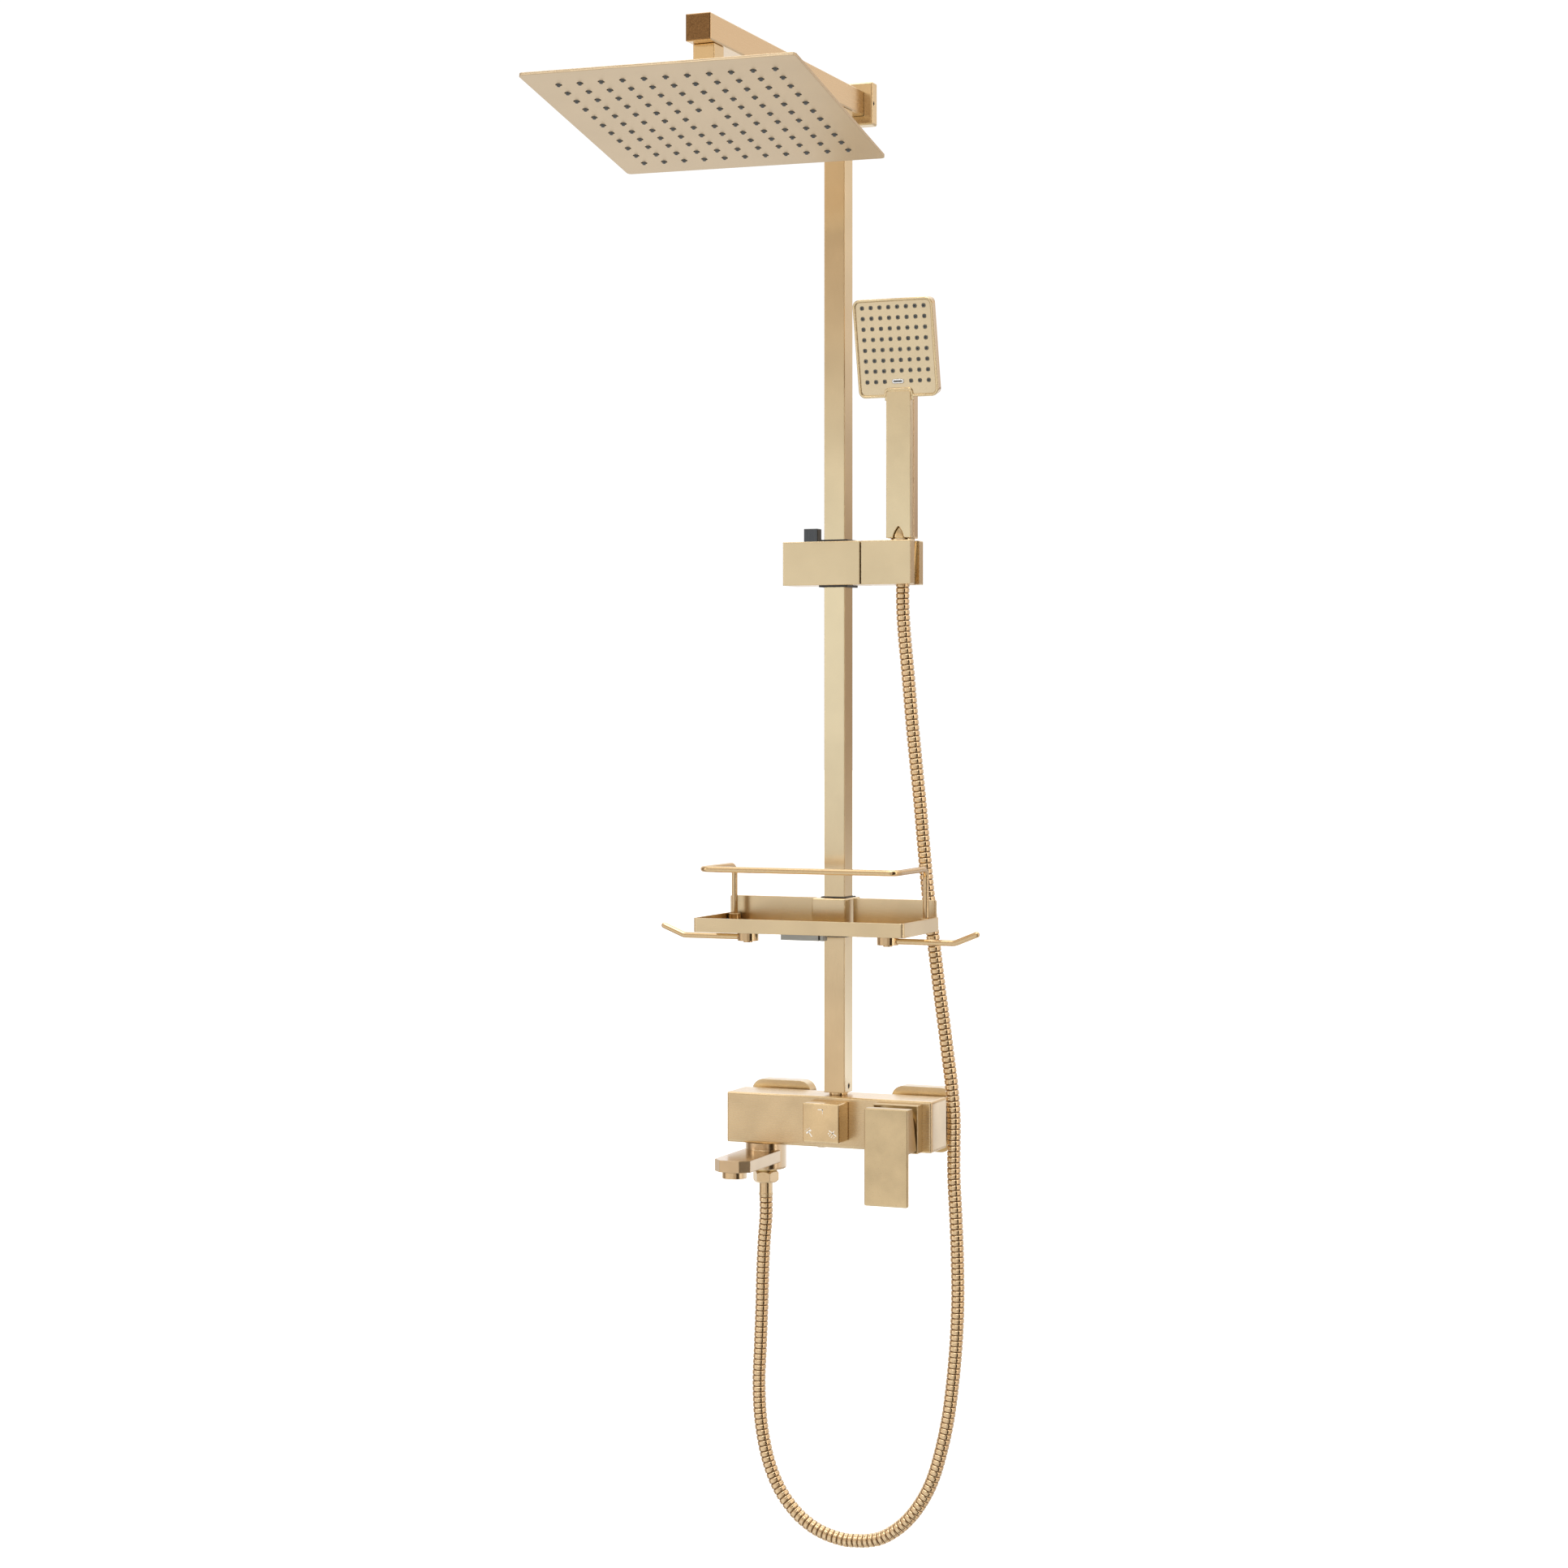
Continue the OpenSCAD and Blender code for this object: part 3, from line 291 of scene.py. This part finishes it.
loop_route = [
    (-77.5, -50, -80.6), (-77.5, -50, -100), (-79.5, -50, -125), (-81, -50, -155),
    (-82, -50, -190), (-83.5, -50, -228), (-85, -50, -266), (-83, -50, -304), (-75.5, -50, -341),
    (-63, -50, -370), (-46, -50, -391), (-28, -50, -404), (-10, -50, -411), (8, -50, -414),
    (17, -50, -413.5),
]
riser_route = [
    (17, -50, -413.5), (26, -50, -413), (43, -50, -409), (60, -50, -399), (75, -50, -385),
    (88, -50, -367), (98, -50, -347), (106, -50, -322), (114, -50, -287), (119.5, -50, -247),
    (123, -50, -207), (124.5, -50, -168), (124, -50, -128), (122.5, -50, -89),
    (120.5, -50, -50), (120.5, -50, -20), (120.5, -50, 10), (118, -50, 40), (114, -50, 70),
    (110, -50, 100), (105.5, -50, 132), (101.5, -50, 163), (97, -50, 198), (93, -50, 233),
    (89, -50, 275), (85, -50, 318), (80.5, -50, 360), (76.5, -50, 400), (73, -50, 440),
    (69.5, -50, 475), (67.6, -50, 505), (67.6, -50, 529.1),
]


def smooth_path(points, step=0.001):
    """Points a millimetre apart on a smooth curve through the given ones."""
    p = np.array([points[0], *points, points[-1]], float)
    p[0] = 2 * p[1] - p[2]
    p[-1] = 2 * p[-2] - p[-3]
    out = []
    for i in range(1, len(p) - 2):
        t = np.linspace(0, 1, 40, endpoint=False)[:, None]
        a, b, c, d = p[i - 1 : i + 3]
        out.append(0.5 * (2 * b + (c - a) * t + (2 * a - 5 * b + 4 * c - d) * t**2
                          + (3 * b - a - 3 * c + d) * t**3))
    out = np.vstack([*out, p[-2][None]])
    s = np.concatenate([[0], np.cumsum(np.linalg.norm(np.diff(out, axis=0), axis=1))])
    even = np.arange(0, s[-1], step)
    return np.stack([np.interp(even, s, out[:, k]) for k in range(3)], 1), even


hose_line, hose_s = smooth_path([tuple(c / 1000 for c in p) for p in loop_route + riser_route[1:]])
tangents = np.gradient(hose_line, axis=0)
tangents /= np.linalg.norm(tangents, axis=1)[:, None]
rib_pitch = 0.0054
rib_phase = [0.0, 0.05, 0.09, 0.17, 0.3, 0.45, 0.49, 0.53, 0.68, 0.83, 0.91, 0.95]
rib_drop = [0.0012, 0.0011, 0.0006, 0.0002, 0.0, 0.00012, 0.0003, 0.00012, 0.0, 0.0002, 0.0006, 0.0011]
groove_from = 0.0008  # mean drop past which a band counts as groove and gets the painted groove shade


def point_at(s):
    """The point of the hose's centre line at a length along it."""
    return [float(np.interp(s, hose_s, hose_line[:, k])) for k in range(3)]


def hose_piece(name, s0, s1, radius, sides=28):
    """A ribbed stretch of the hose between two lengths along it."""
    stations = []
    k = int(s0 / rib_pitch) - 1
    while k * rib_pitch < s1:
        stations += [((k + f) * rib_pitch, radius - d) for f, d in zip(rib_phase, rib_drop)]
        k += 1
    stations = [x for x in stations if s0 < x[0] < s1]
    stations = [(s0, stations[0][1])] + stations + [(s1, stations[-1][1])]
    verts, faces = [], []
    for s, r in stations:
        at = np.array(point_at(s))
        t = np.array([np.interp(s, hose_s, tangents[:, k]) for k in range(3)])
        t /= np.linalg.norm(t)
        side = np.array([t[2], 0, -t[0]])
        up = np.cross(t, side)
        for j in range(sides):
            a = 2 * math.pi * j / sides
            verts.append(at + r * (math.cos(a) * side + math.sin(a) * up))
    n = len(stations)
    for i in range(n - 1):
        for j in range(sides):
            k = (j + 1) % sides
            faces.append((i * sides + j, i * sides + k, (i + 1) * sides + k, (i + 1) * sides + j))
    faces.append(tuple(range(sides - 1, -1, -1)))
    faces.append(tuple(range((n - 1) * sides, n * sides)))
    obj = mesh_object(name, verts, faces, hose_gold)
    # faces deep in the grooves get the painted groove shade
    obj.data.materials.append(hose_groove_painted_shade)
    for i, polygon in enumerate(obj.data.polygons[: (n - 1) * sides]):
        depth = radius - (stations[i // sides][1] + stations[i // sides + 1][1]) / 2
        polygon.material_index = int(depth > groove_from)
    inside = (hose_s > s0) & (hose_s < s1)
    path = [point_at(s0), *hose_line[inside][::6].tolist(), point_at(s1)]
    return obj, path


def length_at(z, after):
    """Length along the hose where it reaches a height, past a given length."""
    i = int(np.searchsorted(hose_s, after))
    return float(hose_s[i + int(np.argmax(hose_line[i:, 2] > z))])


split_at = np.array(loop_route[-1]) / 1000
s_bottom = float(hose_s[int(np.argmin(np.linalg.norm(hose_line - split_at, axis=1)))])
s_slider = length_at(0.30, s_bottom)
s_end = float(hose_s[-1])
hose_d = 0.0136
lower, lower_path = hose_piece("hose_lower", 0.0, s_bottom, hose_d / 2)
middle, middle_path = hose_piece("hose_middle", s_bottom, s_slider, hose_d / 2)
upper, upper_path = hose_piece("hose_upper", s_slider, s_end, hose_d / 2)
# a second tube in the hose's end rides with the hand shower and shows when that is lifted
inner_len, inner_gap = 0.058, 0.0011
inner, inner_path = hose_piece("hose_inner", s_end - inner_len, s_end, hose_d / 2 - inner_gap)
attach(lower, "column")
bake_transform(middle)
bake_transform(upper)
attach(inner, "hand_shower")
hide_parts("hose_loop")
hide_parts("hose_riser")
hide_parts("hose_riser")

# ---------------------------------------------------------------- hand shower's rim and tips

hand_x, face_lean = 0.0676, math.radians(12)
face_at = Matrix.Translation((hand_x, -0.061, 0.7087)) @ Matrix.Rotation(face_lean, 4, "X")
face_w, face_len = 0.0824, 0.096


def rounded_loop(corners, step=9):
    """Closed outline through (x, z, radius) corners, each rounded, as points and outward normals."""
    points, count = [], len(corners)
    for i, (x, z, r) in enumerate(corners):
        at = Vector((x, z))
        back = (Vector(corners[i - 1][:2]) - at).normalized()
        on = (Vector(corners[(i + 1) % count][:2]) - at).normalized()
        half = back.angle(on) / 2
        centre = at + (back + on).normalized() * (r / math.sin(half))
        start, end = at + back * (r / math.tan(half)) - centre, at + on * (r / math.tan(half)) - centre
        turn = start.angle_signed(end)
        for k in range(step + 1):
            a = -turn * k / step
            points.append(centre + Vector((start.x * math.cos(a) - start.y * math.sin(a),
                                           start.x * math.sin(a) + start.y * math.cos(a))))
    normals = []
    for i, q in enumerate(points):
        along = points[(i + 1) % len(points)] - points[i - 1]
        normals.append(Vector((along.y, -along.x)).normalized())
    return points, normals


def bead(name, corners, profile, material, body):
    """A closed bead on the spray face. The profile is (outward, forward) pairs."""
    points, normals = rounded_loop(corners)
    verts = [face_at @ Vector((q.x + n.x * u, -v, q.y + n.y * u))
             for q, n in zip(points, normals) for u, v in profile]
    k, m = len(profile), len(points)
    faces = [(i * k + j, i * k + (j + 1) % k, (i + 1) % m * k + (j + 1) % k, (i + 1) % m * k + j)
             for i in range(m) for j in range(k)]
    obj = mesh_object(name, verts, faces, material, body)
    close_normals(obj)
    return obj


half_w, tab_w, tab_h = face_w / 2 - 0.0012, 0.0134, 0.0071
outline = [(-half_w, 0.0012, 0.006), (-tab_w - 0.0005, 0.0012, 0.002), (-tab_w, tab_h + 0.001, 0.004),
           (tab_w, tab_h + 0.001, 0.004), (tab_w + 0.0005, 0.0012, 0.002), (half_w, 0.0012, 0.006),
           (half_w, face_len - 0.0012, 0.006), (-half_w, face_len - 0.0012, 0.006)]
bulge = [(0.00112 * math.cos(math.radians(a)), 0.0006 * math.sin(math.radians(a))) for a in range(0, 181, 20)]
rim = bead("handset_rim", outline, [*bulge, (-0.00112, -0.0004), (0.00112, -0.0004)], gold_moulded, "hand_shower")


def plate(name, outline, front, back, inset, material, place, body="hand_shower"):
    """A closed plate with rounded front edges. The outline is (x, z) points, anticlockwise."""
    n = len(outline)
    flat = [Vector(q) for q in outline]
    outward = []
    for i in range(n):
        along = flat[(i + 1) % n] - flat[i - 1]
        outward.append(Vector((along.y, -along.x)).normalized())
    loops = [(0.0, back)]
    for a in (0, 30, 60, 90):
        c, d = math.cos(math.radians(a)), math.sin(math.radians(a))
        loops.append((inset * (1 - c), front + inset * (1 - d)))
    verts = [place @ Vector((q.x - o.x * d, y, q.y - o.y * d))
             for d, y in loops for q, o in zip(flat, outward)]
    faces = [(i * n + j, i * n + (j + 1) % n, (i + 1) * n + (j + 1) % n, (i + 1) * n + j)
             for i in range(len(loops) - 1) for j in range(n)]
    faces += [tuple(range(n)), tuple(range((len(loops) - 1) * n, len(loops) * n))]
    obj = mesh_object(name, verts, faces, material, body)
    close_normals(obj)
    for polygon in list(obj.data.polygons)[-2:]:
        polygon.use_smooth = False
    return obj


def arc(x, z, r, start, stop, steps=6):
    return [(x + r * math.cos(math.radians(start + (stop - start) * k / steps)),
             z + r * math.sin(math.radians(start + (stop - start) * k / steps))) for k in range(steps + 1)]


# front panel of the handle, with a pointed arch cut in its foot
foot_z, panel_w, panel_top, corner = 0.5718, 0.0127, 0.7152, 0.0022
arch_w, arch_h = 0.0056, 0.0116
arch = [(arch_w * (1 - (k / 8) ** 1.7), foot_z + arch_h * k / 8) for k in range(8)]
panel_outline = ([(arch_w + 0.0002, foot_z), (panel_w, foot_z)]
                 + arc(panel_w - corner, panel_top - corner, corner, 0, 90)
                 + arc(-panel_w + corner, panel_top - corner, corner, 90, 180)
                 + [(-panel_w, foot_z), (-arch_w - 0.0002, foot_z)]
                 + [(-x, z) for x, z in arch[1:]] + [(0, foot_z + arch_h)] + arch[:0:-1])
at_hand = Matrix.Translation((hand_x, 0, 0))
panel_front, panel_back, panel_edge = -0.0627, -0.0603, 0.0006
plate("handset_panel", panel_outline, panel_front, panel_back, panel_edge, gold_moulded, at_hand)

# rounded end of the handle's liner, seen in the arch
bullet_verts, bullet_faces = [], []
bullet_steps, bullet_sides = 10, 12
for k in range(bullet_steps + 1):
    h = min(k / bullet_steps, 0.985)
    w = (arch_w - 0.0001) * (1 - h ** 1.7)
    for j in range(bullet_sides + 1):
        a = math.pi * j / bullet_sides
        out = 0.0604 + 0.0018 * math.sin(a) * w / arch_w
        bullet_verts.append((hand_x + w * math.cos(a), -out, foot_z + arch_h * h))
ring_size = bullet_sides + 1
for k in range(bullet_steps):
    for j in range(bullet_sides):
        i = k * ring_size + j
        bullet_faces.append((i, i + 1, i + ring_size + 1, i + ring_size))
    low, high = k * ring_size, (k + 1) * ring_size
    bullet_faces.append((low, high, high + bullet_sides, low + bullet_sides))
bullet_faces += [tuple(range(ring_size)), tuple(range(high, high + ring_size))]
bullet = mesh_object("handset_bullet", bullet_verts, bullet_faces, gold_moulded, "hand_shower")
close_normals(bullet)

first_row = 0.0156
slot_outline = arc(0.0040, first_row, 0.0006, -90, 90) + arc(-0.0040, first_row, 0.0006, 90, 270)
# a thin near-black plate painted as the shade in the badge's slot
badge_slot = plate("badge_slot", slot_outline, 0.00024, 0.0005, 0.00005, hole_painted_shade, face_at)

tip_pitch_x, tip_pitch_z, tip_sides = 0.0091, 0.0103, 16
# half width, corner radius and distance in front of the face, from the foot of a tip to its hole
tip_profile = ((0.0018, 0.0006, -0.0009), (0.0017, 0.0006, -0.0003), (0.00145, 0.0006, -0.0001),
               (0.0007, 0.00069, -0.0001), (0.0006, 0.00059, -0.0005))
tip_verts, tip_faces, hole_faces = [], [], []
for row in range(8):
    for column in range(8):
        if row == 0 and column in (3, 4):
            continue
        cx, cz = (column - 3.5) * tip_pitch_x, first_row + row * tip_pitch_z
        base = len(tip_verts)
        for half, corner, forward in tip_profile:
            flat = half - corner
            for k in range(tip_sides):
                a = math.radians((k + 0.5) * 360 / tip_sides)
                c, d = math.cos(a), math.sin(a)
                x = cx + math.copysign(flat, c) + corner * c
                z = cz + math.copysign(flat, d) + corner * d
                tip_verts.append(face_at @ Vector((x, -forward, z)))
        last = len(tip_profile) - 1
        for i in range(last):
            low, high = base + i * tip_sides, base + (i + 1) * tip_sides
            for k in range(tip_sides):
                on = (k + 1) % tip_sides
                (hole_faces if i == last - 1 else tip_faces).append((low + k, low + on, high + on, high + k))
        hole_faces.append(tuple(high + k for k in range(tip_sides)))
        tip_faces.append(tuple(base + k for k in reversed(range(tip_sides))))
# the recessed end of each tip is painted near black as the shade in its hole
tips = mesh_object("handset_tips", tip_verts, tip_faces + hole_faces, tip_rubber, "hand_shower")
tips.data.materials.append(hole_painted_shade)
for polygon in tips.data.polygons[len(tip_faces):]:
    polygon.material_index = 1

# ---------------------------------------------------------------- small details

lo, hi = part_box("diverter_knob")
knob_y = lo.y - 0.00006
knob_c = Vector(((lo.x + hi.x) / 2, 0, (lo.z + hi.z) / 2))


def flat_shape(name, outlines, body, material, y, thick=0.00012):
    """Thin raised shapes on a face that looks along -Y."""
    verts, faces = [], []
    for outline in outlines:
        n, k = len(outline), len(verts)
        verts += [(x, y, z) for x, z in outline] + [(x, y + thick, z) for x, z in outline]
        faces.append(tuple(k + i for i in range(n)))
        faces.append(tuple(k + n + i for i in reversed(range(n))))
        faces += [(k + i, k + n + i, k + n + (i + 1) % n, k + (i + 1) % n) for i in range(n)]
    obj = mesh_object(name, verts, faces, material, body, smooth=False)
    close_normals(obj)
    return obj


def stroke(x0, z0, x1, z1, w):
    """A bar of a given width from one point to another, with square ends."""
    d = Vector((x1 - x0, z1 - z0)).normalized() * (w / 2)
    n = Vector((-d.y, d.x))
    a, b = Vector((x0, z0)), Vector((x1, z1))
    return [tuple(a - n - d), tuple(b - n + d), tuple(b + n + d), tuple(a + n - d)]


def icon(cx, cz, strokes, scale=0.001, turn=0.0):
    """The outlines of a pictogram's strokes, scaled, turned and placed."""
    c, s = math.cos(math.radians(turn)), math.sin(math.radians(turn))
    out = []
    for x0, z0, x1, z1, w in strokes:
        q = stroke(x0, z0, x1, z1, w)
        out.append([(cx + scale * (c * x - s * z), cz + scale * (s * x + c * z)) for x, z in q])
    return out


rain_icon = [(-3, 1.2, 3, 1.2, 0.7), (0, 1.2, 0, 3.0, 0.7), (-2.4, -0.2, -2.4, -1.2, 0.45),
             (-0.8, -0.2, -0.8, -1.8, 0.45), (0.8, -0.2, 0.8, -1.8, 0.45), (2.4, -0.2, 2.4, -1.2, 0.45)]
hand_icon = [(-1.8, 2.0, 1.8, 2.0, 1.3), (0, 1.6, 0, -2.6, 0.8), (-1.6, 3.6, -2.2, 4.4, 0.4),
             (0, 3.6, 0, 4.6, 0.4), (1.6, 3.6, 2.2, 4.4, 0.4)]
spout_icon = [(-2.6, 0.8, 1.8, 0.8, 0.9), (1.8, 0.8, 1.8, -0.8, 0.9), (1.8, -1.8, 1.8, -3.0, 0.45)]
marks = (icon(knob_c.x - 0.0112, knob_c.z - 0.0105, hand_icon, 0.0012, 35)
         + icon(knob_c.x + 0.0115, knob_c.z - 0.0105, rain_icon, 0.0014, -35)
         + icon(knob_c.x, knob_c.z + 0.0125, spout_icon, 0.0010))
flat_shape("diverter_marks", marks, "diverter", mark, knob_y)

# ---------------------------------------------------------------- floor, world, lights

floor_mat = satin("floor", (0.80, 0.80, 0.795), 0.85, 0.0, 2, 0.004, 0.0)
floor_bsdf = floor_mat.node_tree.nodes["Principled BSDF"]
floor_bsdf.inputs["Emission Color"].default_value = (1, 1, 1, 1)
floor_bsdf.inputs["Emission Strength"].default_value = 0.5
floor = mesh_object("floor", [(-40, -40, -1.0), (40, -40, -1.0), (40, 60, -1.0), (-40, 60, -1.0)],
                    [(0, 1, 2, 3)], floor_mat, smooth=False)
floor.visible_glossy = False

world = bpy.data.worlds.new("studio")
scene.world = world
world.use_nodes = True
wt = world.node_tree
background = wt.nodes["Background"]
coords = wt.nodes.new("ShaderNodeTexCoord")
split = wt.nodes.new("ShaderNodeSeparateXYZ")
wt.links.new(coords.outputs["Generated"], split.inputs[0])


def map_range(source, low, high):
    span = wt.nodes.new("ShaderNodeMapRange")
    span.inputs["From Min"].default_value = low
    span.inputs["From Max"].default_value = high
    wt.links.new(source, span.inputs["Value"])
    return span.outputs["Result"]


def world_ramp(source, low, high, stops):
    """Colours along a value of the direction, from low to high."""
    ramp = wt.nodes.new("ShaderNodeValToRGB")
    wt.links.new(map_range(source, low, high), ramp.inputs["Fac"])
    elements = ramp.color_ramp.elements
    while len(elements) < len(stops):
        elements.new(0.5)
    for e, (at, colour) in zip(elements, stops):
        e.position = (at - low) / (high - low)
        e.color = (*colour, 1)
    return ramp.outputs["Color"]


def world_mix(kind, factor, a, b):
    mix = wt.nodes.new("ShaderNodeMix")
    mix.data_type = "RGBA"
    mix.blend_type = kind
    mix.clamp_result = False
    if isinstance(factor, float):
        mix.inputs[0].default_value = factor
    else:
        wt.links.new(factor, mix.inputs[0])
    for socket, value in ((mix.inputs[6], a), (mix.inputs[7], b)):
        if isinstance(value, tuple):
            socket.default_value = (*value, 1)
        else:
            wt.links.new(value, socket)
    return mix.outputs[2]


def by_height(stops):
    """Colours by elevation in degrees."""
    return world_ramp(split.outputs["Z"], -1.0, 1.0, [(math.sin(math.radians(e)), c) for e, c in stops])


angle = wt.nodes.new("ShaderNodeMath")
angle.operation = "ARCTAN2"
wt.links.new(split.outputs["X"], angle.inputs[0])
wt.links.new(split.outputs["Y"], angle.inputs[1])
# brightness by compass direction, in degrees from +Y towards +X
around = world_ramp(angle.outputs[0], -math.pi, math.pi, [(math.radians(a), c) for a, c in [
    (-180, (1.0, 1.0, 1.0)), (-150, (1.0, 1.0, 1.0)), (-134, (1.15, 1.12, 1.1)), (-116, (1.0, 0.95, 0.9)),
    (-100, (0.32, 0.26, 0.2)), (-78, (0.42, 0.34, 0.27)), (-58, (0.97, 0.97, 0.97)),
    (-45, (1.0, 1.0, 1.0)), (50, (1.0, 1.0, 1.0)), (72, (1.1, 1.0, 0.9)),
    (104, (1.3, 1.22, 1.12)), (113, (0.05, 0.035, 0.02)), (138, (0.05, 0.035, 0.02)),
    (146, (1.0, 0.95, 0.9)), (156, (0.55, 0.5, 0.45)), (164, (0.75, 0.7, 0.65)),
    (172, (1.0, 1.0, 1.0)), (180, (1.0, 1.0, 1.0)),
]])
front_height = by_height([
    (-90, (0.85, 0.84, 0.82)), (-30, (0.92, 0.93, 0.95)), (-17, (1.12, 1.16, 1.16)),
    (-12, (0.74, 0.66, 0.57)), (-9.5, (0.78, 0.65, 0.53)), (-7.5, (1.04, 0.85, 0.70)),
    (-5.5, (0.70, 0.63, 0.60)), (-3.5, (0.72, 0.69, 0.70)), (-1.0, (1.06, 1.16, 1.28)),
    (4.2, (1.16, 1.26, 1.34)), (6.2, (0.60, 0.49, 0.39)), (9.0, (0.48, 0.34, 0.235)),
    (10.6, (0.55, 0.41, 0.29)), (11.4, (1.0, 0.82, 0.62)), (12.2, (1.25, 1.0, 0.76)),
    (14, (1.1, 0.9, 0.66)), (20, (0.45, 0.36, 0.28)), (30, (0.7, 0.65, 0.6)),
    (50, (1.3, 1.28, 1.25)), (90, (1.9, 1.9, 1.9)),
])
right_height = by_height([
    (-90, (0.7, 0.66, 0.62)), (-22, (0.6, 0.55, 0.52)), (-9.6, (0.62, 0.54, 0.50)),
    (-8.0, (1.5, 1.65, 1.95)), (-5.0, (0.95, 0.92, 0.92)), (-1.5, (0.46, 0.36, 0.29)),
    (3.0, (0.46, 0.36, 0.29)), (6.0, (0.86, 0.78, 0.74)), (10.0, (1.0, 0.92, 0.86)),
    (14.0, (0.9, 0.72, 0.57)), (30, (0.9, 0.85, 0.8)), (90, (1.9, 1.9, 1.9)),
])
facing = map_range(split.outputs["Y"], 0.1, -0.5)
to_right = map_range(split.outputs["X"], -0.05, 0.15)
beyond_height = by_height([
    (-90, (1.0, 1.0, 1.0)), (-35, (1.05, 1.05, 1.08)), (-20, (1.0, 1.0, 1.02)),
    (-8, (1.05, 1.05, 1.1)), (12, (1.12, 1.12, 1.2)), (40, (1.4, 1.4, 1.4)),
    (90, (1.9, 1.9, 1.9)),
])
behind = world_mix("MIX", to_right, beyond_height, right_height)
studio = world_mix("MULTIPLY", 1.0, around, world_mix("MIX", facing, behind, front_height))
rays = wt.nodes.new("ShaderNodeLightPath")
backdrop = (1.05, 1.05, 1.05)
seen = world_mix("MIX", rays.outputs["Is Camera Ray"], studio, backdrop)
wt.links.new(seen, background.inputs["Color"])


def softbox(name, location, target, size, power, colour=(1, 1, 1)):
    light = bpy.data.lights.new(name, "AREA")
    light.shape = "RECTANGLE"
    light.size, light.size_y = size
    light.energy = power
    light.color = colour
    obj = bpy.data.objects.new(name, light)
    obj.location = location
    obj.rotation_euler = (Vector(target) - Vector(location)).to_track_quat("-Z", "Y").to_euler()
    scene.collection.objects.link(obj)
    return obj


softbox("light_top", (0.2, -1.0, 3.2), (0, -0.1, 0.4), (2.4, 2.4), 44)
softbox("light_left", (-2.6, -1.8, 1.2), (0, -0.1, 0.4), (0.5, 2.4), 5)
softbox("light_right", (2.8, -0.8, 0.8), (0, -0.1, 0.4), (0.4, 2.4), 6, (1, 0.95, 0.88))
